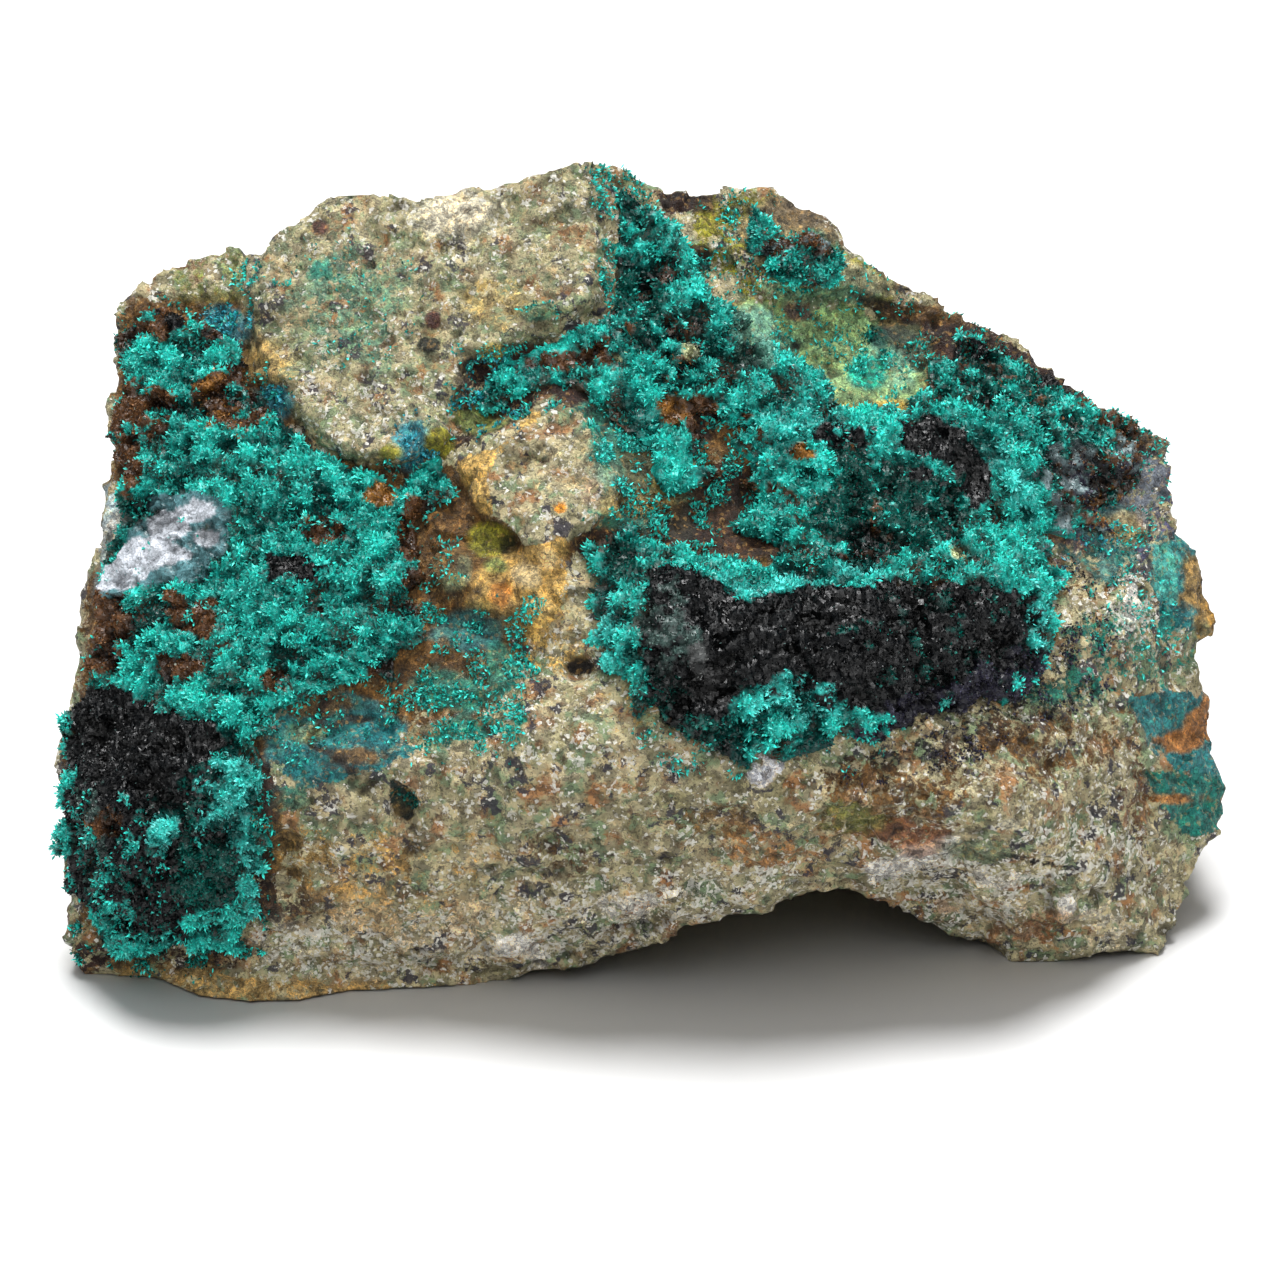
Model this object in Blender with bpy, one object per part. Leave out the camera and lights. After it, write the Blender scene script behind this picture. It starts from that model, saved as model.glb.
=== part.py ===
"""A hand-sized rough specimen of dioptase on its matrix.

A broken block of granular host rock leans its widest side towards the viewer. Crusts of fine
dioptase crystals cover most of that side, and two of them swell into dark bosses. The display
side is laid out square-on, as x across, rise up the leaning plane and depth away from the
viewer, and `placed` turns that into the block's own space. Lengths below are in millimetres.
"""

import math

import bmesh
import bpy
from mathutils import Vector, noise

MM = 0.001

# The display plane leans back from the upright, and is looked at square-on from this eye.
LEAN = math.radians(30)
EYE_DISTANCE = 600.0
EYE_RISE = 24.7

# The outline of the block on the display plane, as (x, rise).
TOP_EDGE = [
    (-49.5, 58.5), (-45.1, 61.3), (-39.2, 62.9), (-33.3, 65.3), (-30.9, 68.0), (-29.7, 68.6),
    (-21.6, 68.5), (-18.6, 68.1), (-12.7, 69.0), (-9.8, 70.2), (-5.2, 71.9), (-3.6, 71.7),
    (-1.2, 70.6), (2.0, 68.5), (5.9, 68.2), (9.3, 68.6), (12.3, 68.8), (15.2, 67.8),
    (17.2, 67.0), (19.1, 64.4), (20.6, 62.4), (25.5, 59.6), (29.9, 57.5), (31.4, 56.4),
    (37.2, 53.2), (40.2, 51.5), (45.1, 48.4), (49.0, 45.9), (51.7, 44.3),
]
RIGHT_EDGE = [
    (51.0, -6.4), (52.1, -2.3), (54.2, 2.2), (56.1, 6.1), (57.0, 9.5), (56.1, 13.4),
    (56.4, 18.3), (55.2, 22.2), (55.7, 24.7), (55.6, 32.0), (54.2, 34.0), (53.2, 37.4),
    (52.1, 41.4), (51.7, 44.3),
]
BOTTOM_EDGE = [
    (-54.9, -7.3), (-53.9, -7.8), (-50.0, -8.3), (-47.0, -8.9), (-43.1, -10.9), (-38.2, -11.4),
    (-33.3, -11.2), (-28.4, -10.3), (-18.6, -9.8), (-12.7, -8.4), (-6.9, -6.9), (-1.0, -5.5),
    (5.9, -2.9), (13.7, -1.6), (17.6, -0.6), (25.5, -2.0), (31.4, -4.2), (36.3, -7.0),
    (41.7, -7.0), (47.0, -5.7), (51.0, -6.4),
]
LEFT_EDGE = [
    (-54.9, -7.3), (-55.6, -2.7), (-56.6, 3.1), (-56.8, 12.9), (-55.6, 20.8), (-54.6, 26.7),
    (-53.6, 32.5), (-52.4, 38.4), (-51.7, 42.3), (-52.3, 47.2), (-51.7, 53.1), (-50.8, 57.0),
    (-49.5, 58.5),
]

# Each broken face of the display side: its depth at x = rise = 0, and how much deeper it gets
# for a millimetre across and for a millimetre of rise. The deepest one is the surface.
BROKEN_FACES = [
    (-39.8, -0.21, 0.453),  # upper left
    (-43.6, 0.305, 0.546),  # upper right
    (-25.5, -0.131, -0.678),  # lower left, which overhangs
    (-22.2, 0.09, -1.02),  # lower right, which overhangs the arch
    (-64.0, -0.9, 0.12),  # left flank
    (-72.0, 1.2, 0.0),  # right flank
]
WORN_EDGE = 1.6  # rounding where two broken faces meet

# Steps and bosses of the rock itself, each an outline on the display plane and its height.
LOBE = [
    (-38.2, 54.1), (-38.7, 59.0), (-35.0, 70.0), (-4.0, 75.0), (-3.7, 58.0), (-7.8, 55.6),
    (-12.7, 53.6), (-16.7, 51.6), (-17.4, 48.2), (-19.1, 45.3), (-23.5, 41.8), (-28.4, 42.8),
    (-31.4, 44.3), (-34.8, 47.7), (-37.0, 50.7),
]
KNOB = [
    (-16.7, 43.3), (-12.7, 45.8), (-8.8, 47.4), (-5.1, 46.7), (-3.4, 43.3), (-1.8, 39.9),
    (-2.7, 36.5), (-7.8, 34.0), (-11.8, 33.0), (-14.7, 35.5), (-16.7, 39.4),
]
OCHRE_SHELF = [
    (-20.6, 32.5), (-13.7, 34.0), (-7.8, 34.5), (-5.9, 30.6), (-7.8, 26.7), (-13.7, 26.2),
    (-18.6, 28.6),
]
SUMMIT_BUMP = [
    (8.8, 72.0), (22.0, 70.0), (21.5, 60.5), (18.0, 58.3), (12.5, 59.0), (9.2, 62.0),
]
LOWER_LEDGE = [
    (15.0, 5.5), (22.5, 6.3), (31.5, 3.6), (42.0, 0.4), (53.0, 0.8), (53.0, -9.0),
    (14.0, -9.0),
]
UPPER_LEDGE = [
    (4.0, 10.6), (16.0, 9.2), (28.0, 11.0), (41.0, 11.6), (56.0, 15.0), (60.0, 3.5),
    (44.0, 3.6), (32.0, 6.4), (22.0, 8.0), (12.0, 6.2),
]
BASE_STRIP = [
    (-45.0, -5.6), (-34.0, -6.8), (-22.0, -6.4), (-12.0, -4.0), (0.0, -2.6), (0.0, -14.0),
    (-45.0, -14.0),
]
ARCH_SOFFIT = [
    (14.0, -3.0), (18.5, 0.2), (24.5, 2.2), (30.5, 2.8), (34.5, -1.5), (36.0, -9.0),
    (14.0, -9.0),
]
ROCK_STEPS = [
    # outline, height, width of the step
    (LOBE, 3.4, 1.5),
    (KNOB, 3.0, 2.0),
    (OCHRE_SHELF, 1.8, 2.2),
    (SUMMIT_BUMP, 1.8, 2.6),
    (UPPER_LEDGE, 0.9, 1.4),
    (LOWER_LEDGE, -1.0, 1.4),
    (BASE_STRIP, -0.9, 1.2),
    (ARCH_SOFFIT, -3.5, 3.5),
]
HOLLOWS = [
    # x, rise, half width, half height, depth of the hollow
    (19.6, 54.1, 8.0, 7.0, 3.0),
    (8.0, 37.5, 9.0, 4.5, 2.2),
    (-14.2, 34.6, 2.4, 2.0, 1.5),
    (-43.0, 50.0, 6.0, 5.0, 1.2),
    (-36.0, 3.5, 2.6, 3.4, 1.6),
    (-23.2, 8.4, 1.6, 1.6, 1.1),
    (-28.0, 15.5, 5.0, 3.0, 1.0),
    (43.0, 20.0, 6.0, 4.0, 1.0),
]

# The dioptase crusts. LEFT_FIELD is one crust. FRONT_BOSS, CREST and SLOPE grew into each other.
LEFT_FIELD = [
    (-49.0, 56.5), (-42.5, 56.3), (-39.3, 53.8), (-38.2, 50.2), (-35.5, 46.5), (-31.5, 42.9),
    (-24.0, 40.0), (-20.0, 42.5), (-18.0, 39.0), (-20.5, 33.0), (-20.8, 25.5), (-23.0, 20.5),
    (-30.0, 19.8), (-36.0, 17.0), (-36.5, 9.0), (-37.2, -0.5), (-39.5, -5.3), (-47.0, -6.3),
    (-54.0, -4.6), (-55.0, 0.0), (-55.8, 9.0), (-55.3, 17.0), (-53.8, 23.5), (-53.0, 29.0),
    (-51.5, 35.0), (-51.0, 42.0), (-51.5, 48.0), (-50.8, 54.0),
]
FRONT_BOSS = [
    (-5.2, 35.4), (0.0, 35.8), (5.5, 32.8), (11.5, 31.5), (15.5, 37.0), (20.5, 38.5),
    (28.5, 39.5), (35.0, 38.5), (40.5, 35.0), (41.2, 28.5), (41.2, 23.6), (38.2, 19.7),
    (30.4, 17.3), (23.5, 14.8), (15.7, 12.8), (9.8, 12.8), (4.0, 13.8), (-1.0, 18.8),
    (-4.0, 24.7), (-5.4, 29.6),
]
CREST = [
    (-3.2, 70.5), (0.5, 69.0), (2.4, 67.3), (5.0, 64.5), (6.3, 61.0), (8.3, 57.3),
    (11.0, 53.8), (18.5, 52.0), (19.5, 44.0), (12.0, 43.0), (6.6, 45.6), (6.0, 43.5),
    (7.8, 39.6), (4.0, 38.2), (-0.2, 41.5), (-2.4, 45.0), (-4.3, 48.4), (-9.0, 49.0),
    (-14.3, 46.8), (-16.2, 48.6), (-15.3, 51.2), (-11.5, 53.2), (-6.5, 55.2), (-2.8, 57.6),
    (-2.6, 64.0),
]
SLOPE = [
    (11.0, 50.0), (19.5, 46.8), (26.5, 46.4), (28.3, 52.0), (30.8, 55.5), (37.2, 52.0),
    (45.0, 47.2), (49.0, 44.4), (48.0, 39.0), (44.0, 34.5), (40.8, 33.6), (35.5, 36.0),
    (28.5, 36.8), (20.5, 34.0), (14.0, 32.6), (9.5, 34.0), (9.8, 39.0), (9.0, 43.5),
    (7.0, 47.5),
]
SUMMIT_FIELD = [
    (9.0, 67.8), (13.0, 68.4), (14.2, 65.6), (16.5, 63.8), (20.0, 64.4), (21.4, 61.6),
    (17.5, 59.8), (13.0, 60.0), (9.4, 62.4),
]
# Each crust's outlines, its thickness, and the bosses and pits in it, as (x, rise, half width,
# half height, height).
CRUSTS = {
    "dioptase_crust_left": ([LEFT_FIELD], 1.3, [
        (-47.5, 6.5, 9.5, 12.5, 4.2),
        (-30.0, 27.0, 8.0, 6.0, 1.5),
        (-38.0, 38.0, 7.0, 5.0, 1.4),
        (-44.0, 24.0, 6.0, 5.0, 1.2),
        (-42.5, 48.0, 5.0, 4.0, 0.8),
        (-32.6, 34.2, 3.2, 2.0, -1.2),
        (-25.5, 39.0, 1.8, 1.6, -1.0),
        (-45.5, 27.5, 2.5, 1.5, -1.0),
        (-45.0, 21.5, 4.0, 1.6, -1.0),
    ]),
    "dioptase_crust_right": ([FRONT_BOSS, CREST, SLOPE], 1.4, [
        (4.5, 23.5, 8.0, 8.0, 6.4),
        (17.0, 23.5, 9.0, 6.5, 5.0),
        (30.0, 26.5, 9.5, 7.5, 4.6),
        (10.8, 27.5, 2.5, 2.5, -1.8),
        (23.5, 20.5, 2.5, 2.0, -1.6),
        (-0.5, 63.0, 4.5, 6.5, 2.2),
        (4.5, 54.5, 6.0, 5.0, 1.6),
        (-9.5, 51.0, 3.0, 2.0, 0.8),
        (2.5, 46.5, 3.0, 2.5, -0.8),
        (23.5, 42.5, 8.0, 4.5, 2.6),
        (33.5, 42.5, 6.0, 6.0, 3.2),
        (13.5, 41.0, 5.0, 4.0, 1.6),
        (42.0, 45.0, 6.0, 4.0, 1.0),
    ]),
    "dioptase_crust_summit": ([SUMMIT_FIELD], 1.3, []),
}
CRUST_GAP = 0.32  # clear of the rock, so that the two stay separate solids
CRUST_RIM = 0.45  # thickness at the crust's border
FLOOR_CLEAR = 0.4  # the crust stays this far above the surface that the block stands on
RIM_TAPER = 3.0  # how far in the crust takes to reach its full thickness
BORDER_CLEAR = 0.5  # a crust stops this far inside its outline
SHARP_CREASE = math.radians(75)  # and short of a crease of the rock that is sharper than this
CRUST_LUMPS = 1.3  # height of the lumps that the crystals gather in
LUMP_SIZE = 4.2
CRYSTAL_HEIGHT = (0.5, 1.4)  # of the pyramid of crystals on each facet of the crust
CRYSTAL_LEAN = 0.3
LONGEST_FACET = 5.2  # edges of the crust's outside that are longer are split
EVENED = 3  # times that the crust's outside is evened, so that it doesn't fold in the hollows
EVENED_ABOVE = 0.9  # where the crust is thicker than this

# The hidden sides.
BACK_DROP = 8.0  # how far the back's top edge lies under the display side's top edge
BACK_STEP = 4.0  # and how far behind it
BACK_BASE_Y = 36.0
BACK_BASE_BOW = 7.0  # the base's corners lie this far in front of its middle
BACK_HALF_WIDTH = (50.0, 48.5)  # at the base, at the top
CHIP_SIZES = (13.0, 6.0, 2.8)  # across the chips that the broken faces are made of
CHIP_HEIGHTS = (1.9, 0.9, 0.7)
DISPLAY_SIDE_SHARE = 0.65  # of that height on the display side, which is the plainer break
COVERED_SHARE = 0.25  # of that height where a crust covers the rock
FOOT_HOLLOW = 1.4  # how far the base is hollowed between its bearing spots
FOOT_FLAT = 0.45  # anything of the base lower than this bears on the surface, and is flat
FOOT_WIDTH = 0.3  # share of the base's depth that its hollow takes to reach its full height
FOOT_SLOPE = 0.9  # how far the foot of the display side stands out for a millimetre of rise
CALM_HEIGHT = 3.0  # under this height the chips get lower towards the surface

GRID_CUTS = 71  # of the cube that becomes the block
DISPLAY_FACETS = 3450
HIDDEN_FACETS = 1600

ROCK = (0.42, 0.38, 0.28)
DIOPTASE = (0.01, 0.30, 0.25)


def clear_scene():
    for obj in list(bpy.data.objects):
        bpy.data.objects.remove(obj)


def new_collection(name):
    collection = bpy.data.collections.new(name)
    bpy.context.scene.collection.children.link(collection)
    return collection


def material(name, colour, roughness):
    made = bpy.data.materials.new(name)
    made.use_nodes = True
    shader = made.node_tree.nodes["Principled BSDF"]
    shader.inputs["Base Color"].default_value = (*colour, 1)
    shader.inputs["Roughness"].default_value = roughness
    shader.inputs["Metallic"].default_value = 0
    return made


def placed(x, rise, depth):
    """The point in the block's space of a place on the display side, spread by its distance."""
    spread = (EYE_DISTANCE + depth) / EYE_DISTANCE
    rise = EYE_RISE + (rise - EYE_RISE) * spread
    return Vector((
        x * spread,
        rise * math.sin(LEAN) + depth * math.cos(LEAN),
        rise * math.cos(LEAN) - depth * math.sin(LEAN),
    ))


def seen(point):
    """(x, rise, depth) on the display plane of a point in the block's space."""
    depth = point.y * math.cos(LEAN) - point.z * math.sin(LEAN)
    rise = point.y * math.sin(LEAN) + point.z * math.cos(LEAN)
    spread = (EYE_DISTANCE + depth) / EYE_DISTANCE
    return point.x / spread, EYE_RISE + (rise - EYE_RISE) / spread, depth


def floor_depth(rise):
    """The depth at which a place of this rise meets the surface that the block stands on."""
    slope = (rise - EYE_RISE) * math.cos(LEAN) / EYE_DISTANCE
    return rise * math.cos(LEAN) / (math.sin(LEAN) - slope)


def smoothstep(value):
    value = min(max(value, 0.0), 1.0)
    return value * value * (3 - 2 * value)


def smooth_max(values, width):
    highest = max(values)
    return highest + width * math.log(sum(math.exp((v - highest) / width) for v in values))


def evenly(points, axis):
    """A function from a share, 0 to 1, of the way along axis to the point of the line there."""
    first, last = points[0][axis], points[-1][axis]

    def at(share):
        goal = first + (last - first) * share
        for a, b in zip(points, points[1:]):
            if a[axis] <= goal <= b[axis] and b[axis] > a[axis]:
                t = (goal - a[axis]) / (b[axis] - a[axis])
                return a[0] + (b[0] - a[0]) * t, a[1] + (b[1] - a[1]) * t
        return points[-1]

    return at


def inside_distance(x, rise, outline):
    """How far a place lies inside a closed outline, or minus how far outside."""
    nearest, inside = math.inf, False
    for (ax, ay), (bx, by) in zip(outline, outline[1:] + outline[:1]):
        dx, dy = bx - ax, by - ay
        t = ((x - ax) * dx + (rise - ay) * dy) / (dx * dx + dy * dy)
        t = min(max(t, 0.0), 1.0)
        nearest = min(nearest, math.hypot(x - ax - t * dx, rise - ay - t * dy))
        if (ay > rise) != (by > rise) and x < ax + (rise - ay) * dx / dy:
            inside = not inside
    return nearest if inside else -nearest


def union_distance(x, rise, outlines):
    return max(inside_distance(x, rise, outline) for outline in outlines)


def dome(x, rise, boss):
    """The height at a place of a low dome, (x, rise, half width, half height, height)."""
    cx, cy, half_width, half_height, height = boss
    off = math.hypot((x - cx) / half_width, (rise - cy) / half_height)
    return height * smoothstep(1.25 - off)


def chipped(point, size):
    """The height at a point of flat chips, each with a slant of its own, from -0.5 to 0.5."""
    place = point / size
    chip = noise.voronoi(place)[1][0]
    slant = noise.cell_vector(chip * 9.7) - Vector((0.5, 0.5, 0.5))
    return min(max(slant.dot(place - chip) * 1.6, -0.5), 0.5)


def front_depth(x, rise):
    """The depth of the rock's display side at a place."""
    depth = smooth_max([d + a * x + b * rise for d, a, b in BROKEN_FACES], WORN_EDGE)
    for outline, height, width in ROCK_STEPS:
        depth -= height * smoothstep(0.5 + inside_distance(x, rise, outline) / width)
    for hollow in HOLLOWS:
        depth += dome(x, rise, hollow)
    return depth


def outline_patch():
    """A function from (u, v), each 0 to 1, to (x, rise) inside the block's outline."""
    top, bottom = evenly(TOP_EDGE, 0), evenly(BOTTOM_EDGE, 0)
    left, right = evenly(LEFT_EDGE, 1), evenly(RIGHT_EDGE, 1)

    def at(u, v):
        corners = bottom(0), bottom(1), top(0), top(1)
        weights = (1 - u) * (1 - v), u * (1 - v), (1 - u) * v, u * v
        lines = (
            (bottom(u), 1 - v),
            (top(u), v),
            (left(v), 1 - u),
            (right(v), u),
        )
        return tuple(
            sum(point[i] * share for point, share in lines)
            - sum(point[i] * share for point, share in zip(corners, weights))
            for i in (0, 1)
        )

    return at


def front_point(patch, u, v):
    """A point of the display side. Its foot juts out where the break would run into the surface
    that the block stands on."""
    x, rise = patch(u, v)
    foot = floor_depth(rise) - FOOT_SLOPE * (rise - patch(u, 0)[1])
    return placed(x, rise, min(front_depth(x, rise), foot))


def back_point(patch, u, v):
    """A point of the hidden back: a leaning face from the base up to under the top edge."""
    across = 2 * u - 1
    half_width = BACK_HALF_WIDTH[0] + (BACK_HALF_WIDTH[1] - BACK_HALF_WIDTH[0]) * v
    top = front_point(patch, u, 1)
    y_base = BACK_BASE_Y - BACK_BASE_BOW * across * across
    y_top = top.y + BACK_STEP
    return Vector((
        across * half_width,
        y_base + (y_top - y_base) * v,
        (top.z - BACK_DROP) * v,
    ))


def base_hollow(u, s):
    """How far the base is lifted off the surface between its bearing spots."""
    between = smoothstep(s / FOOT_WIDTH) * smoothstep((1 - s) / FOOT_WIDTH)
    return FOOT_HOLLOW * between * (0.55 + 0.45 * math.cos(3 * math.tau * u + 4 * s))


def shape_block(mesh):
    """Turns a gridded cube, -1 to 1, into the block of rock."""
    patch = outline_patch()
    for vert in mesh.verts:
        u, s, v = ((c + 1) / 2 for c in vert.co)
        front, back = front_point(patch, u, v), back_point(patch, u, v)
        point = front.lerp(back, s)
        if v < 1e-6:
            point.z += base_hollow(u, s)
        vert.co = point


def roughen(mesh):
    """Chips the faces, less on the display side and least under the crusts."""
    mesh.normal_update()
    view = Vector((0, -math.cos(LEAN), math.sin(LEAN)))
    covers = [outline for outlines, _, _ in CRUSTS.values() for outline in outlines]
    moved = []
    for vert in mesh.verts:
        share = 1
        if vert.normal.dot(view) > 0.15:
            x, rise, _ = seen(vert.co)
            covered = smoothstep(0.5 + union_distance(x, rise, covers) / 2)
            share = DISPLAY_SIDE_SHARE + (COVERED_SHARE - DISPLAY_SIDE_SHARE) * covered
        share *= smoothstep(vert.co.z / CALM_HEIGHT)
        height = sum(h * chipped(vert.co, s) for s, h in zip(CHIP_SIZES, CHIP_HEIGHTS))
        moved.append(vert.co + vert.normal * share * height)
    for vert, co in zip(mesh.verts, moved):
        vert.co = co


def flatten_feet(mesh):
    """Makes the base's bearing spots flat, and keeps all else off the surface below."""
    mesh.normal_update()
    for vert in mesh.verts:
        if vert.normal.z < -0.4 and vert.co.z < FOOT_FLAT:
            vert.co.z = 0
        vert.co.z = max(vert.co.z, 0)


def gridded_cube():
    mesh = bmesh.new()
    bmesh.ops.create_cube(mesh, size=2)
    bmesh.ops.subdivide_edges(mesh, edges=mesh.edges, cuts=GRID_CUTS, use_grid_fill=True)
    return mesh


def object_of(name, mesh, collection, look):
    """An object made of a bmesh that is in millimetres."""
    bmesh.ops.scale(mesh, verts=mesh.verts, vec=(MM, MM, MM))
    data = bpy.data.meshes.new(name)
    mesh.to_mesh(data)
    mesh.free()
    obj = bpy.data.objects.new(name, data)
    data.materials.append(look)
    collection.objects.link(obj)
    return obj


def evaluated(obj):
    """The object's mesh as its modifiers leave it, as a bmesh in the mesh's own units."""
    graph = bpy.context.evaluated_depsgraph_get()
    mesh = bmesh.new()
    mesh.from_mesh(bpy.data.meshes.new_from_object(obj.evaluated_get(graph)))
    return mesh


def thinned(mesh, collection):
    """The block's mesh with only the facets that its shape needs, more of them on the display
    side."""
    bmesh.ops.triangulate(mesh, faces=mesh.faces)
    mesh.normal_update()
    view = Vector((0, -math.cos(LEAN), math.sin(LEAN)))
    display = [vert.index for vert in mesh.verts if vert.normal.dot(view) > 0.1]
    hidden = [vert.index for vert in mesh.verts if vert.normal.dot(view) <= 0.1]
    full = len(mesh.faces)
    full_display = full * len(display) / len(mesh.verts)
    data = bpy.data.meshes.new("rough_block")
    mesh.to_mesh(data)
    mesh.free()
    block = bpy.data.objects.new("rough_block", data)
    collection.objects.link(block)
    sides = (
        ("hidden", hidden, full, full_display + HIDDEN_FACETS),
        ("display", display, full_display + HIDDEN_FACETS, DISPLAY_FACETS + HIDDEN_FACETS),
    )
    for name, verts, before, after in sides:
        block.vertex_groups.new(name=name).add(verts, 1, "REPLACE")
        thin = block.modifiers.new(name, "DECIMATE")
        thin.vertex_group = name
        thin.ratio = after / before
    result = evaluated(block)
    bpy.data.objects.remove(block)
    return result


def make_matrix(collection, look):
    """The block of rock."""
    mesh = gridded_cube()
    shape_block(mesh)
    roughen(mesh)
    flatten_feet(mesh)
    mesh = thinned(mesh, collection)
    flatten_feet(mesh)
    bmesh.ops.triangulate(mesh, faces=mesh.faces)
    bmesh.ops.recalc_face_normals(mesh, faces=mesh.faces)
    return object_of("matrix", mesh, collection, look)


def edge_connected(faces):
    """The largest set of these faces that are joined through edges."""
    left, largest = set(faces), set()
    while left:
        group, front = set(), [left.pop()]
        while front:
            face = front.pop()
            group.add(face)
            near = {f for edge in face.edges for f in edge.link_faces} & left
            left -= near
            front.extend(near)
        if len(group) > len(largest):
            largest = group
    return largest


def clean_patch(faces):
    """The largest set whose border never touches itself at a point."""
    faces = edge_connected(faces)
    while True:
        pinched = set()
        for vert in {v for face in faces for v in face.verts}:
            border = [e for e in vert.link_edges if len(set(e.link_faces) & faces) == 1]
            if len(border) > 2:
                pinched |= set(vert.link_faces) & faces
        if not pinched:
            return faces
        faces = edge_connected(faces - pinched)


def crust_patch(mesh, outlines):
    """The rock's triangles under a crust."""
    view = Vector((0, -math.cos(LEAN), math.sin(LEAN)))
    found = []
    for face in mesh.faces:
        x, rise, _ = seen(face.calc_center_median())
        if face.normal.dot(view) < 0.1 or union_distance(x, rise, outlines) < BORDER_CLEAR:
            continue
        if min(edge.calc_face_angle_signed() for edge in face.edges) > -SHARP_CREASE:
            found.append(face)
    return clean_patch(found)


def crust_thickness(point, outlines, thickness, bosses):
    x, rise, _ = seen(point)
    full = thickness + sum(dome(x, rise, boss) for boss in bosses)
    lump = 0.75 - noise.voronoi(point / LUMP_SIZE)[0][0]
    full = max(full + CRUST_LUMPS * lump, CRUST_RIM)
    rim = smoothstep(union_distance(x, rise, outlines) / RIM_TAPER)
    return CRUST_RIM + (full - CRUST_RIM) * rim


def split_long_facets(mesh, faces, mark):
    """Halves the long edges inside this set of facets, and returns the set's new facets."""
    for face in faces:
        face[mark] = 1
    inside = {e for f in faces for e in f.edges if all(near[mark] for near in e.link_faces)}
    long = [edge for edge in inside if edge.calc_length() > LONGEST_FACET]
    bmesh.ops.subdivide_edges(mesh, edges=long, cuts=1)
    split = [face for face in mesh.faces if face[mark] and len(face.verts) > 3]
    bmesh.ops.triangulate(mesh, faces=split)
    return [face for face in mesh.faces if face[mark]]


def grow_crystals(mesh, faces):
    """Stands a low, leaning pyramid of crystals on each triangle of the crust's outside."""
    low, high = CRYSTAL_HEIGHT
    for face in list(faces):
        centre, normal = face.calc_center_median(), face.normal.copy()
        pick = noise.cell_vector(centre * 1.7)
        size = math.sqrt(face.calc_area())
        height = min(low + (high - low) * pick.x, 0.55 * size)
        tip = bmesh.ops.poke(mesh, faces=[face])["verts"][0]
        sideways = Vector((pick.y - 0.5, pick.z - 0.5, pick.x - 0.5))
        tip.co = centre + normal * height + sideways * CRYSTAL_LEAN * size
        tip.co.z = max(tip.co.z, FLOOR_CLEAR)


def make_crust(name, rock, collection, look):
    """One crust: the rock's own triangles lifted clear, thickened outwards and set with
    crystals."""
    outlines, thickness, bosses = CRUSTS[name]
    mesh = evaluated(rock)
    mark = mesh.faces.layers.int.new("outside")
    bmesh.ops.scale(mesh, verts=mesh.verts, vec=(1 / MM, 1 / MM, 1 / MM))
    mesh.normal_update()
    keep = crust_patch(mesh, outlines)
    outward = {vert: vert.normal.copy() for face in keep for vert in face.verts}
    bmesh.ops.delete(mesh, geom=list(set(mesh.faces) - keep), context="FACES")
    inner = list(mesh.faces)
    outer = bmesh.ops.duplicate(mesh, geom=mesh.verts[:] + mesh.edges[:] + inner)
    pairs = {v: outer["vert_map"][v] for v in {v for face in inner for v in face.verts}}
    borders = [edge for face in inner for edge in face.edges if edge.is_boundary]
    thick = []
    for low, high in pairs.items():
        lift = crust_thickness(low.co, outlines, thickness, bosses)
        high.co = low.co + outward[low] * (CRUST_GAP + lift)
        low.co = low.co + outward[low] * CRUST_GAP
        if lift > EVENED_ABOVE:
            thick.append(high)
    for _ in range(EVENED):
        bmesh.ops.smooth_vert(
            mesh, verts=thick, factor=0.5, use_axis_x=True, use_axis_y=True, use_axis_z=True
        )
    for high in pairs.values():
        high.co.z = max(high.co.z, FLOOR_CLEAR)
    for edge in borders:
        a, b = edge.verts
        mesh.faces.new((a, b, pairs[b]))
        mesh.faces.new((a, pairs[b], pairs[a]))
    for face in inner:
        face.normal_flip()
    bmesh.ops.recalc_face_normals(mesh, faces=mesh.faces)
    top = [f for f in outer["geom"] if isinstance(f, bmesh.types.BMFace)]
    grow_crystals(mesh, split_long_facets(mesh, top, mark))
    mesh.faces.layers.int.remove(mark)
    print(name, len(mesh.faces), "triangles")
    return object_of(name, mesh, collection, look)


def centre_on_base(objects):
    """Moves the whole specimen so that the origin is at the middle of its base."""
    corners = [v.co for obj in objects for v in obj.data.vertices]
    middle = Vector((
        (min(c.x for c in corners) + max(c.x for c in corners)) / 2,
        (min(c.y for c in corners) + max(c.y for c in corners)) / 2,
        min(c.z for c in corners),
    ))
    for obj in objects:
        for vert in obj.data.vertices:
            vert.co -= middle
    return middle


def main():
    clear_scene()
    specimen = new_collection("dioptase_specimen")
    rock_look = material("host_rock", ROCK, 0.85)
    dioptase_look = material("dioptase", DIOPTASE, 0.45)
    rock = make_matrix(specimen, rock_look)
    crusts = [make_crust(name, rock, specimen, dioptase_look) for name in CRUSTS]
    moved = centre_on_base([rock, *crusts])
    print("the origin moved by", [round(c / MM, 2) for c in moved], "mm")


main()
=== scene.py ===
"""A hand-sized specimen of dioptase on a block of granular host rock, on a pale surface.

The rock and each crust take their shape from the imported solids, get a fine broken surface, and
the crusts are set all over with small crystals. Colours follow named patches, each an outline
as the display side is seen, with borders broken up by noise.
"""

import math

import bpy
import numpy as np
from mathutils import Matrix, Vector
from mathutils.bvhtree import BVHTree


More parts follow.
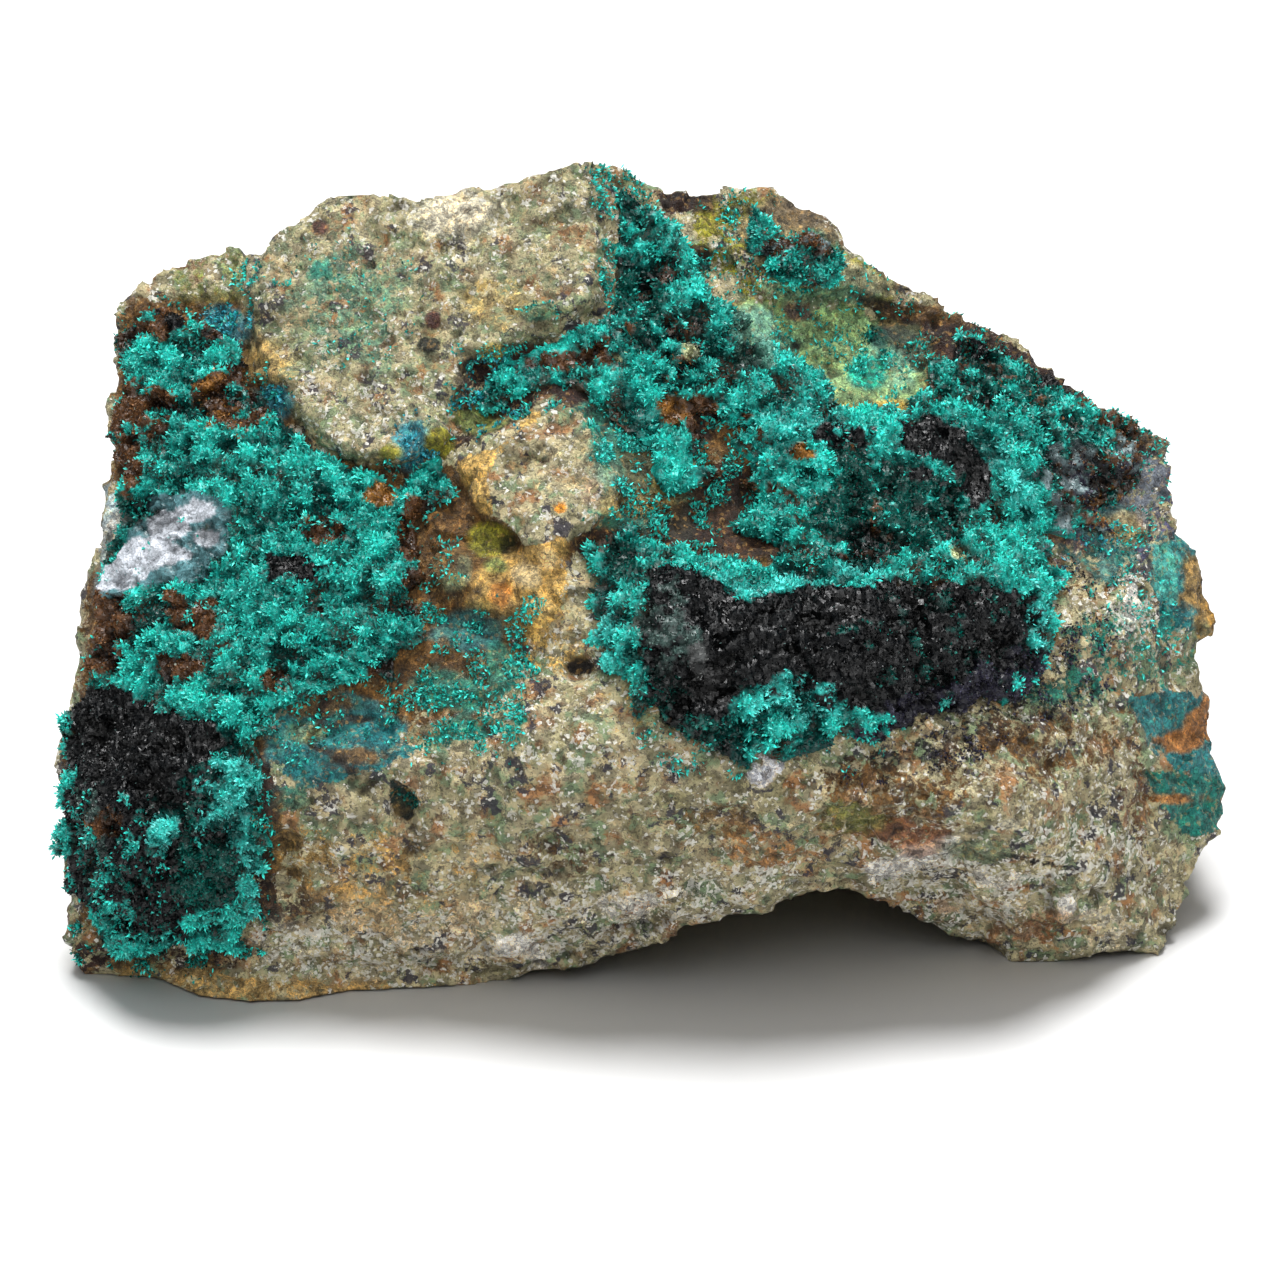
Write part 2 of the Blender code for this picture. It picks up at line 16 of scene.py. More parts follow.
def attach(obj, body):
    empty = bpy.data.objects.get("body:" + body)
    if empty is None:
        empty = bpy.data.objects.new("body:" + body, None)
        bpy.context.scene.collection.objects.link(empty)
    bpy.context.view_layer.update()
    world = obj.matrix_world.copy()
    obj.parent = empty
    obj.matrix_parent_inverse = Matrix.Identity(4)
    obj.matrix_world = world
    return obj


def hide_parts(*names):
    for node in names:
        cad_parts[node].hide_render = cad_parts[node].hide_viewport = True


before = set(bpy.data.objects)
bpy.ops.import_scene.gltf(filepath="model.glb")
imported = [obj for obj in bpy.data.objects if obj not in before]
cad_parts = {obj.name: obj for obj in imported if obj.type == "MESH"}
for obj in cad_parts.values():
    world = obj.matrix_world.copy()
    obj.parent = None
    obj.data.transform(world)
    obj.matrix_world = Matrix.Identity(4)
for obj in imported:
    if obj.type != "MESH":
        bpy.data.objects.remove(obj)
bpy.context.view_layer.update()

MM = 0.001

# The display view: an eye this far from the plane through the origin that leans back by LEAN.
LEAN = math.radians(30)
EYE_DISTANCE = 600.0
EYE_RISE = 24.7
VIEW_STEPS = 1280  # across and down the display view
VIEW_MM = 0.098  # of the display plane for each of these steps
VIEW_CENTRE = (640.0, 892.0)
DESIGN_ORIGIN = np.array([-0.29, -7.17, 0.0])  # the display plane's origin, from the base's middle


def linear(red, green, blue):
    """A colour from 0 to 255 as seen, as linear light."""
    parts = []
    for value in (red, green, blue):
        v = value / 255
        parts.append(v / 12.92 if v <= 0.04045 else ((v + 0.055) / 1.055) ** 2.4)
    return np.array(parts)


# Noise over many points at once


def lattice(cell, seed):
    """A number from 0 to 1 for each whole-number place."""
    c = cell.astype(np.int64).astype(np.uint32)
    h = c[..., 0] * np.uint32(374761393) + c[..., 1] * np.uint32(668265263)
    h = h + c[..., 2] * np.uint32(2246822519) + np.uint32(seed * 3266489917 % 2**32)
    h = (h ^ (h >> np.uint32(13))) * np.uint32(1274126177)
    h = (h ^ (h >> np.uint32(16))) * np.uint32(2654435761)
    h = h ^ (h >> np.uint32(15))
    return h.astype(np.float64) / 2**32


def smooth_noise(points, size, seed):
    """Smooth noise from -1 to 1, with lumps of about this size."""
    place = points / size + 1000.0
    low = np.floor(place)
    t = place - low
    t = t * t * (3 - 2 * t)
    total = 0
    for dx in (0, 1):
        for dy in (0, 1):
            for dz in (0, 1):
                weight = np.abs(1 - dx - t[:, 0]) * np.abs(1 - dy - t[:, 1])
                weight = weight * np.abs(1 - dz - t[:, 2])
                total = total + weight * lattice(low + (dx, dy, dz), seed)
    return total * 2 - 1


def rough_noise(points, size, seed, levels=3):
    """Smooth noise with finer levels on top, each about half the size of the one before."""
    total, share, reach = 0, 1.0, 0
    for level in range(levels):
        total = total + share * smooth_noise(points, size / 2.1**level, seed + 17 * level)
        reach += share
        share *= 0.55
    return total / reach


def cells_around(points, size, seed):
    """The 27 cells of about this size round each point: their places, and the way from their
    centres to the point, in cells."""
    place = points / size + 1000.0
    low = np.floor(place)
    for dx in (-1, 0, 1):
        for dy in (-1, 0, 1):
            for dz in (-1, 0, 1):
                cell = low + (dx, dy, dz)
                centre = cell + np.stack([lattice(cell, seed + k) for k in (1, 2, 3)], axis=1)
                yield cell, place - centre


def cells(points, size, seed):
    """How far the nearest cell's centre is from each point, in cells, and that cell's number."""
    nearest = np.full(len(points), 9.0)
    number = np.zeros(len(points))
    for cell, way in cells_around(points, size, seed):
        away = np.linalg.norm(way, axis=1)
        number = np.where(away < nearest, lattice(cell, seed + 4), number)
        nearest = np.minimum(nearest, away)
    return nearest, number


def chips(points, size, seed):
    """The height of flat chips of about this size, each with a slant of its own, -0.5 to 0.5."""
    nearest = np.full(len(points), 9.0)
    height = np.zeros(len(points))
    for cell, way in cells_around(points, size, seed):
        slant = np.stack([lattice(cell, seed + k) for k in (5, 6, 7)], axis=1) - 0.5
        away = np.linalg.norm(way, axis=1)
        height = np.where(away < nearest, (slant * way).sum(axis=1) * 1.8, height)
        nearest = np.minimum(nearest, away)
    return np.clip(height, -0.5, 0.5)


def ramp(value, low, high):
    """From 0 at low to 1 at high, eased at both ends."""
    t = np.clip((value - low) / (high - low), 0, 1)
    return t * t * (3 - 2 * t)


# Places on the display view


def view_of(points):
    """Across, down and depth on the display view of points in millimetres."""
    q = points - DESIGN_ORIGIN
    depth = q[:, 1] * math.cos(LEAN) - q[:, 2] * math.sin(LEAN)
    rise = q[:, 1] * math.sin(LEAN) + q[:, 2] * math.cos(LEAN)
    spread = (EYE_DISTANCE + depth) / EYE_DISTANCE
    across = VIEW_CENTRE[0] + q[:, 0] / spread / VIEW_MM
    down = VIEW_CENTRE[1] - (EYE_RISE + (rise - EYE_RISE) / spread) / VIEW_MM
    return across, down, depth


def outline_distance(across, down, outline):
    """How far each place lies inside an outline, or minus how far outside."""
    nearest = np.full(len(across), 1e9)
    inside = np.zeros(len(across), bool)
    for (ax, ay), (bx, by) in zip(outline, outline[1:] + outline[:1]):
        dx, dy = bx - ax, by - ay
        t = np.clip(((across - ax) * dx + (down - ay) * dy) / (dx * dx + dy * dy), 0, 1)
        nearest = np.minimum(nearest, np.hypot(across - ax - t * dx, down - ay - t * dy))
        if ay != by:
            crossed = (ay > down) != (by > down)
            inside ^= crossed & (across < ax + (down - ay) * dx / dy)
    return np.where(inside, nearest, -nearest)


def spot_distance(across, down, spot):
    """The same for a spot, (across, down, half width, half height)."""
    x, y, half_width, half_height = spot
    off = np.hypot((across - x) / half_width, (down - y) / half_height)
    return (1 - off) * min(half_width, half_height)


class Place:
    """Points of a piece, with what its patches need to know about them."""

    def __init__(self, points, facing):
        self.points = points
        self.across, self.down, self.depth = view_of(points)
        self.seen = ramp(facing, 0.02, 0.2)
        self.coarse = rough_noise(points, 3.2, 5)
        self.fine = rough_noise(points, 1.1, 9)

    def patch(self, shape, feather=6.0, broken=9.0):
        """How much each point belongs to a patch, 0 to 1, with a broken border."""
        if isinstance(shape, list):
            distance = outline_distance(self.across, self.down, shape)
        else:
            distance = spot_distance(self.across, self.down, shape)
        distance = distance + broken * (self.coarse + 0.6 * self.fine)
        return ramp(distance, -feather / 2, feather / 2) * self.seen


# Meshes


def copy_of(node, name):
    """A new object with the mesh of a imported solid."""
    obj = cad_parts[node].copy()
    obj.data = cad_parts[node].data.copy()
    obj.name = name
    for key in list(obj.keys()):
        del obj[key]
    obj.parent = None
    bpy.context.scene.collection.objects.link(obj)
    return obj


def settle(obj):
    """Applies the object's modifiers."""
    graph = bpy.context.evaluated_depsgraph_get()
    mesh = bpy.data.meshes.new_from_object(obj.evaluated_get(graph))
    old = obj.data
    obj.modifiers.clear()
    obj.data = mesh
    bpy.data.meshes.remove(old)


def points_of(mesh):
    flat = np.empty(len(mesh.vertices) * 3)
    mesh.vertices.foreach_get("co", flat)
    return flat.reshape(-1, 3) / MM


def normals_of(mesh):
    flat = np.empty(len(mesh.vertices) * 3)
    mesh.vertices.foreach_get("normal", flat)
    return flat.reshape(-1, 3)


def set_points(mesh, points):
    mesh.vertices.foreach_set("co", (points * MM).ravel())
    mesh.update()


def triangles_of(mesh):
    mesh.calc_loop_triangles()
    flat = np.empty(len(mesh.loop_triangles) * 3, np.int64)
    mesh.loop_triangles.foreach_get("vertices", flat)
    return flat.reshape(-1, 3)


def facing_of(normals):
    return -normals[:, 1] * math.cos(LEAN) + normals[:, 2] * math.sin(LEAN)


def remeshed(obj, voxel, smooth):
    voxels = obj.modifiers.new("voxels", "REMESH")
    voxels.mode = "VOXEL"
    voxels.voxel_size = voxel * MM
    if smooth:
        soften = obj.modifiers.new("soften", "SMOOTH")
        soften.factor = 0.5
        soften.iterations = smooth
    settle(obj)


def thin_where(obj, weights, keep):
    """Thins the mesh where the weights are 1, down to this share of its triangles."""
    group = obj.vertex_groups.new(name="thin")
    group.add(np.flatnonzero(weights > 0.5).tolist(), 1, "REPLACE")
    thin = obj.modifiers.new("thin", "DECIMATE")
    thin.ratio = keep
    thin.vertex_group = "thin"
    settle(obj)
    obj.vertex_groups.clear()


def colour_layer(mesh, name, colours):
    layer = mesh.color_attributes.new(name, "FLOAT_COLOR", "POINT")
    rgba = np.ones((len(mesh.vertices), 4))
    rgba[:, :3] = colours
    layer.data.foreach_set("color", rgba.ravel())


def value_layer(mesh, name, values):
    layer = mesh.attributes.new(name, "FLOAT", "POINT")
    layer.data.foreach_set("value", values.astype(np.float32))


# Patches of the rock: (outline or spot, colour, strength, feather, how broken the border is).
BROWN = linear(102, 73, 36)
DARK_BROWN = linear(52, 34, 28)
RUST = linear(182, 112, 44)
OCHRE = linear(208, 172, 100)
OLIVE = linear(140, 138, 44)
OLIVE_GREEN = linear(132, 148, 84)
PALE = linear(228, 220, 196)
WHITE = linear(240, 238, 232)
TEAL_STAIN = linear(40, 140, 124)
PALE_TEAL = linear(120, 178, 158)
CHRYSOCOLLA = linear(40, 124, 130)
BLUE = linear(44, 150, 172)
ICE_BLUE = linear(176, 200, 208)
VIOLET = linear(78, 78, 112)
BLACKISH = linear(26, 24, 26)
MAROON = linear(96, 62, 56)
GREY_GREEN = linear(150, 156, 122)
BARE = None  # clears the stains under it
FILM = linear(26, 122, 128)
ORANGE_BROWN = linear(176, 114, 50)

ROCK_PATCHES = [
    # the ground under and between the crusts is brown and ochre
    ([(125, 300), (240, 290), (300, 420), (330, 455), (470, 470), (600, 420), (640, 330),
      (760, 300),
      (1000, 380), (1140, 520), (1060, 640), (860, 660), (640, 560), (575, 545), (540, 600),
      (440, 700), (260, 760), (240, 900), (90, 940), (60, 760), (100, 560)], BROWN, 0.85, 20, 14),
    ([(590, 500), (760, 480), (800, 560), (640, 560), (600, 580), (575, 545)],
     DARK_BROWN, 0.8, 12, 12),
    # lobe
    ([(215, 250), (345, 180), (600, 150), (604, 300), (545, 338), (470, 368), (450, 420),
      (405, 460),
      (350, 462), (312, 440), (255, 372), (240, 300)], GREY_GREEN, 0.35, 10, 6),
    ((455, 214, 40, 22), PALE, 0.9, 14, 16),
    ((350, 300, 60, 60), TEAL_STAIN, 0.28, 30, 30),
    ((320, 270, 16, 12), TEAL_STAIN, 0.7, 8, 8),
    ((536, 312, 14, 9), TEAL_STAIN, 0.8, 8, 6),
    ((500, 300, 40, 24), OCHRE, 0.25, 20, 20),
    ((433, 320, 9, 10), MAROON, 0.95, 4, 2),
    ((320, 227, 9, 9), MAROON, 0.9, 4, 2),
    ((428, 345, 12, 9), BLACKISH, 0.75, 4, 4),
    ((270, 360, 26, 20), OCHRE, 0.45, 14, 12),
    ([(170, 268), (245, 240), (240, 300), (180, 300)], OLIVE_GREEN, 0.35, 12, 10),
    # the left strip
    ((146, 318, 24, 18), BROWN, 0.9, 8, 8),
    ((213, 334, 12, 8), BROWN, 1.0, 4, 3),
    ((226, 330, 22, 22), BLUE, 0.6, 8, 8),
    ((226, 400, 32, 36), BROWN, 0.9, 10, 10),
    ((148, 410, 34, 22), BROWN, 0.85, 10, 10),
    ((274, 405, 18, 18), BLUE, 0.75, 8, 8),
    ([(104, 490), (160, 478), (216, 500), (230, 540), (190, 590), (100, 592)],
     ICE_BLUE, 0.95, 10, 8),
    ((140, 540, 36, 26), WHITE, 0.85, 12, 12),
    # below the lobe
    ((411, 444, 18, 26), BLUE, 0.8, 8, 6),
    ((394, 452, 12, 8), OLIVE, 0.9, 5, 4),
    ((439, 443, 15, 16), OLIVE, 1.0, 4, 2),
    ([(452, 360), (526, 345), (560, 370), (540, 405), (500, 430), (455, 450)],
     DARK_BROWN, 0.7, 8, 10),
    ([(504, 345), (556, 342), (613, 380), (620, 440), (600, 440), (556, 400), (510, 390)],
     DARK_BROWN, 0.9, 8, 8),
    ((480, 420, 24, 12), OLIVE_GREEN, 0.7, 10, 8),
    ((493, 353, 12, 9), linear(196, 176, 96), 1.0, 4, 3),
    # knob
    ([(470, 463), (512, 437), (532, 415), (557, 404), (591, 418), (600, 440), (619, 477),
      (622, 496),
      (596, 527), (554, 544), (523, 547), (512, 530), (481, 510)], BARE, 1.0, 6, 6),
    ((560, 470, 40, 40), linear(196, 186, 150), 0.35, 20, 20),
    ((600, 484, 18, 22), linear(206, 176, 146), 0.5, 10, 10),
    ([(462, 465), (512, 432), (535, 410), (545, 414), (500, 455), (485, 480), (492, 515),
      (478, 512)],
     OCHRE, 0.85, 6, 9),
    ((560, 508, 6, 5), linear(214, 142, 40), 1.0, 3, 1),
    ((490, 538, 24, 18), OLIVE, 0.95, 6, 5),
    # painted shade: the hole under this spot is coloured dark olive
    ((508, 545, 10, 12), linear(44, 46, 16), 0.95, 5, 4),
    # ochre lumps and brown strip
    ([(512, 548), (560, 540), (566, 580), (556, 610), (540, 640), (490, 630), (470, 600),
      (480, 570)],
     OCHRE, 0.7, 8, 14),
    ((525, 576, 15, 13), linear(216, 194, 146), 0.85, 6, 6),
    ((548, 560, 11, 9), linear(224, 200, 150), 0.85, 6, 5),
    ((538, 608, 12, 10), linear(206, 178, 118), 0.8, 6, 5),
    ((478, 610, 12, 9), linear(166, 156, 96), 0.8, 6, 5),
    ((500, 592, 14, 12), RUST, 0.7, 6, 8),
    ((452, 570, 18, 22), linear(150, 156, 120), 0.95, 6, 4),
    ((497, 566, 12, 8), OLIVE_GREEN, 0.9, 5, 4),
    ([(397, 502), (460, 490), (470, 540), (440, 600), (440, 680), (400, 700), (385, 620),
      (400, 560)],
     BROWN, 0.9, 8, 10),
    ([(433, 600), (530, 610), (530, 660), (480, 720), (400, 735), (370, 700), (430, 650)],
     BROWN, 0.6, 14, 14),
    ((470, 632, 36, 20), CHRYSOCOLLA, 0.8, 8, 10),
    ((450, 690, 34, 24), TEAL_STAIN, 0.75, 8, 14),
    ((500, 670, 18, 30), TEAL_STAIN, 0.6, 8, 14),
    ((460, 735, 34, 14), TEAL_STAIN, 0.6, 8, 12),
    ((520, 720, 12, 7), TEAL_STAIN, 0.9, 5, 4),
    ((560, 640, 34, 40), OCHRE, 0.35, 18, 18),
    # painted shade: the hole under this spot is coloured black
    ((579, 667, 15, 10), BLACKISH, 0.95, 5, 3),
    # chrysocolla between the left crust and the rock
    ([(258, 716), (290, 682), (352, 694), (400, 716), (408, 745), (372, 774), (320, 786),
      (285, 776), (262, 756)],
     CHRYSOCOLLA, 0.8, 8, 16),
    ((306, 698, 34, 18), BROWN, 0.85, 6, 14),
    ((308, 754, 30, 18), FILM, 0.95, 4, 12),
    ((374, 728, 28, 13), FILM, 0.95, 4, 12),
    ((280, 730, 14, 14), linear(40, 138, 140), 0.95, 4, 10),
    ((354, 755, 24, 8), BROWN, 0.9, 4, 8),
    ((330, 730, 26, 12), linear(20, 104, 100), 0.5, 10, 12),
    ([(276, 748), (302, 740), (332, 750), (360, 772), (354, 776), (328, 757), (302, 747)],
     DARK_BROWN, 0.9, 3, 5),
    ([(300, 744), (318, 722), (322, 696), (328, 698), (325, 724), (306, 748)],
     DARK_BROWN, 0.9, 3, 5),
    ([(322, 726), (350, 716), (372, 718), (372, 723), (350, 722), (326, 732)],
     DARK_BROWN, 0.85, 3, 5),
    ((285, 800, 20, 12), TEAL_STAIN, 0.7, 6, 12),
    ((305, 735, 20, 12), OLIVE, 0.35, 8, 8),
    # painted shade: the two holes under these spots are coloured black
    ((290, 840, 14, 10), BLACKISH, 0.95, 5, 4),
    ((294, 874, 9, 6), BLACKISH, 0.95, 5, 3),
    ((256, 780, 15, 34), DARK_BROWN, 0.9, 8, 8),
    ((266, 850, 16, 70), DARK_BROWN, 0.85, 8, 14),
    ([(66, 945), (240, 930), (262, 950), (236, 972), (66, 974)], DARK_BROWN, 0.6, 8, 10),
    # painted shade: the hole under these spots is coloured dark teal
    ((399, 799, 8, 9), linear(14, 40, 34), 0.95, 4, 14),
    ((408, 815, 7, 8), linear(10, 26, 24), 0.95, 4, 14),
    ((405, 868, 6, 20), BLACKISH, 0.6, 4, 16),
    ((300, 860, 40, 60), BROWN, 0.3, 20, 30),
    ((430, 880, 70, 60), linear(196, 160, 96), 0.3, 24, 40),
    ([(1070, 650), (1085, 690), (1030, 735), (900, 775), (820, 790), (830, 760), (900, 740),
      (1000, 700)],
     BLACKISH, 0.45, 10, 22),
    # front face
    ((330, 850, 60, 40), OCHRE, 0.22, 30, 30),
    ((640, 700, 60, 30), OCHRE, 0.22, 20, 20),
    ([(250, 925), (480, 900), (700, 880), (700, 925), (540, 962), (260, 985)], PALE, 0.25, 14, 24),
    ((515, 950, 22, 9), WHITE, 0.8, 8, 16),
    ((768, 775, 20, 14), linear(216, 218, 226), 0.85, 6, 16),
    ((880, 800, 80, 36), BROWN, 0.55, 20, 24),
    ((1010, 770, 60, 30), BROWN, 0.35, 20, 24),
    ((1080, 740, 70, 40), BROWN, 0.4, 24, 24),
    ([(868, 872), (900, 850), (960, 840), (956, 854), (900, 874), (870, 884)], WHITE, 0.75, 6, 9),
    # painted shade: the crack along this outline is coloured black
    ([(955, 843), (985, 858), (1010, 852), (1078, 868), (1076, 873), (1010, 858), (985, 864),
      (953, 848)],
     BLACKISH, 0.7, 2, 1),
    ((1067, 905, 9, 11), WHITE, 1.0, 3, 2),
    ((905, 836, 24, 16), linear(140, 96, 70), 0.7, 8, 20),
    ((850, 812, 30, 12), OLIVE_GREEN, 0.45, 8, 20),
    ((985, 850, 30, 12), linear(126, 140, 112), 0.8, 6, 8),
    ((1012, 824, 13, 8), linear(196, 190, 166), 0.8, 6, 6),
    ((880, 866, 20, 10), WHITE, 0.7, 6, 14),
    ((1010, 884, 26, 9), WHITE, 0.55, 6, 18),
    ((1040, 925, 30, 14), linear(150, 104, 66), 0.6, 8, 18),
    ((930, 905, 26, 12), linear(156, 108, 64), 0.6, 8, 18),
    ((760, 850, 40, 20), linear(160, 118, 74), 0.5, 10, 22),
    ((700, 820, 40, 20), linear(112, 92, 60), 0.5, 10, 22),
    ((1130, 800, 26, 30), linear(108, 78, 52), 0.5, 10, 22),
    ((1100, 930, 30, 20), PALE, 0.5, 10, 20),
    ((560, 860, 40, 26), linear(96, 74, 50), 0.4, 10, 24),
    ((640, 900, 30, 14), WHITE, 0.45, 8, 20),
    ((355, 905, 50, 20), linear(178, 146, 96), 0.35, 12, 26),
    ((300, 910, 26, 20), linear(60, 50, 46), 0.5, 8, 20),
    ((985, 905, 60, 24), PALE, 0.25, 20, 24),
    ([(112, 962), (250, 975), (450, 985), (450, 1015), (250, 1015), (112, 985)],
     linear(186, 154, 98), 0.6, 8, 10),
    # right
    ([(1040, 420), (1110, 430), (1180, 470), (1190, 540), (1130, 600), (1060, 560)],
     VIOLET, 0.5, 20, 24),
    ((1096, 520, 26, 34), linear(70, 84, 140), 0.6, 16, 16),
    ((1100, 590, 60, 60), BARE, 0.6, 20, 24),
    ((1120, 500, 50, 60), linear(130, 140, 146), 0.5, 20, 30),
    ((1110, 540, 40, 40), TEAL_STAIN, 0.4, 16, 30),
    ((1130, 530, 24, 18), OCHRE, 0.5, 10, 10),
    ([(1109, 398), (1150, 420), (1176, 446), (1160, 452), (1120, 425)], PALE, 0.85, 6, 5),
    ([(1146, 560), (1170, 530), (1200, 520), (1212, 560), (1200, 625), (1160, 630)],
     CHRYSOCOLLA, 0.85, 8, 12),
    ([(1180, 555), (1210, 555), (1220, 600), (1220, 660), (1200, 660), (1198, 610), (1180, 600)],
     linear(158, 120, 54), 0.8, 6, 10),
    ((1165, 560, 20, 34), linear(84, 186, 178), 0.9, 6, 12),
    ((1134, 606, 12, 18), WHITE, 0.9, 5, 8),
    ((1120, 650, 60, 30), TEAL_STAIN, 0.45, 20, 24),
    ((1070, 690, 40, 16), TEAL_STAIN, 0.45, 14, 16),
    ([(1132, 700), (1180, 694), (1230, 690), (1230, 780), (1180, 770), (1150, 745)],
     CHRYSOCOLLA, 0.9, 6, 10),
    ([(1186, 712), (1204, 694), (1230, 696), (1226, 728), (1196, 748), (1166, 752), (1150, 738),
      (1182, 730)],
     ORANGE_BROWN, 0.9, 4, 7),
    ([(1146, 772), (1200, 776), (1240, 790), (1240, 830), (1190, 836), (1160, 810)],
     linear(30, 118, 110), 0.9, 6, 9),
    ((1172, 799, 24, 7), ORANGE_BROWN, 0.9, 4, 5),
    # upper right
    ([(745, 300), (800, 300), (920, 320), (935, 360), (915, 415), (850, 410), (790, 380),
      (745, 380)],
     linear(150, 188, 132), 0.85, 10, 14),
    ((775, 350, 26, 24), PALE_TEAL, 0.7, 10, 12),
    ((905, 362, 18, 30), PALE_TEAL, 0.7, 10, 12),
    ((757, 340, 24, 34), PALE_TEAL, 0.9, 10, 10),
    ((895, 350, 26, 22), PALE_TEAL, 0.7, 12, 12),
    ((879, 336, 12, 11), linear(14, 84, 76), 0.95, 4, 2),
    ((868, 371, 20, 18), linear(40, 186, 162), 1.0, 5, 2),
    ((868, 371, 7, 6), linear(14, 110, 98), 0.6, 4, 2),
    ([(770, 384), (800, 392), (850, 406), (905, 400), (914, 412), (850, 422), (785, 408)],
     linear(190, 150, 50), 0.85, 6, 8),
    # painted shade: the hole under this spot is coloured black
    ((796, 345, 6, 6), BLACKISH, 0.95, 3, 2),
    ((798, 310, 17, 12), linear(96, 72, 76), 0.9, 5, 4),
    ([(700, 196), (750, 190), (900, 280), (900, 310), (745, 300), (690, 240)], OLIVE, 0.45, 14, 14),
    ([(652, 190), (712, 194), (716, 214), (664, 214)], DARK_BROWN, 0.9, 6, 6),
    ((697, 258, 16, 13), DARK_BROWN, 0.85, 6, 6),
    ((706, 227, 18, 14), OLIVE, 0.7, 8, 8),
    ([(745, 207), (800, 195), (840, 240), (810, 262), (760, 262), (740, 240)],
     linear(138, 126, 100), 0.8, 8, 10),
    ((790, 216, 30, 14), linear(96, 80, 64), 0.6, 8, 12),
    ((812, 250, 26, 14), TEAL_STAIN, 0.6, 10, 14),
    ((830, 290, 60, 14), PALE_TEAL, 0.5, 12, 12),
    ([(850, 290), (960, 310), (1060, 370), (1130, 410), (1180, 450), (1060, 470), (960, 420),
      (900, 350)],
     DARK_BROWN, 0.85, 10, 14),
    ((936, 312, 60, 14), BROWN, 0.8, 8, 12),
    ([(830, 250), (915, 296), (960, 312), (900, 300), (840, 280)],
     linear(190, 184, 150), 0.8, 6, 6),
    # middle
    ((640, 430, 50, 70), TEAL_STAIN, 0.6, 20, 30),
    ((650, 520, 50, 16), TEAL_STAIN, 0.5, 10, 20),
    ((640, 505, 26, 10), OCHRE, 0.6, 8, 14),
    ((668, 482, 14, 12), OLIVE, 0.8, 6, 8),
    ((672, 409, 14, 14), RUST, 0.9, 6, 6),
    ((705, 418, 17, 26), DARK_BROWN, 0.95, 6, 6),
    ((728, 484, 26, 24), DARK_BROWN, 0.95, 8, 8),
    ((680, 527, 34, 22), DARK_BROWN, 0.9, 8, 8),
    ((655, 470, 30, 26), BROWN, 0.6, 12, 14),
]


# Where the rock is bruised and powdery, with many pale specks: (outline or spot, share).
PALE_ZONES = [
    ((460, 214, 50, 24), 0.9),
    ([(250, 930), (480, 900), (700, 870), (800, 860), (800, 890), (700, 925), (540, 962),
      (260, 985)], 0.7),
    ((970, 890, 90, 40), 0.8),
    ((900, 850, 50, 30), 0.7),
    ((1080, 860, 70, 50), 0.5),
    ((1140, 610, 30, 40), 0.8),
    ((600, 760, 60, 30), 0.3),
    ((330, 420, 60, 40), 0.4),
]


# Lumps, holes and a crack of the rock: (outline or spot, how far it stands out in millimetres).
RISES = [
    ((525, 576, 18, 16), 0.8),
    ((548, 560, 14, 12), 0.6),
    ((500, 602, 16, 14), 0.7),
    ((538, 608, 14, 12), 0.6),
    ((478, 586, 13, 14), 0.6),
    ((452, 566, 15, 22), 0.7),
    ((497, 566, 12, 9), 0.5),
    ((439, 443, 15, 16), 0.8),
    ((394, 452, 12, 8), 0.5),
    ((493, 353, 12, 9), 0.6),
    ((868, 371, 20, 17), 0.4),
    ((879, 336, 12, 11), 0.5),
    ((515, 950, 22, 10), 0.4),
    ((1067, 905, 10, 12), 0.4),
    ((768, 775, 20, 14), 0.4),
    ((579, 667, 17, 11), -1.4),
    ((508, 546, 13, 12), -1.1),
    ((403, 806, 11, 16), -0.9),
    ((290, 840, 12, 10), -0.8),
    ((294, 874, 9, 6), -0.7),
    ((796, 345, 7, 6), -0.5),
    ([(955, 845), (985, 859), (1010, 853), (1078, 868), (1076, 874), (1010, 859), (985, 865),
      (953, 850)], -0.6),
]


def paint(place, patches):
    """The colour of the patches over each point, and how much of the rock there they colour."""
    count = len(place.points)
    colour = np.tile(linear(110, 80, 50), (count, 1))
    strength = np.zeros(count)
    for shape, tone, share, feather, broken in patches:
        amount = share * place.patch(shape, feather, broken)
        if tone is BARE:
            strength = strength * (1 - amount)
            continue
        total = strength + amount * (1 - strength)
        mixed = np.where(total > 0, amount / np.maximum(total, 1e-6), 0)[:, None]
        colour = colour * (1 - mixed) + tone * mixed
        strength = total
    return colour, strength


# Materials


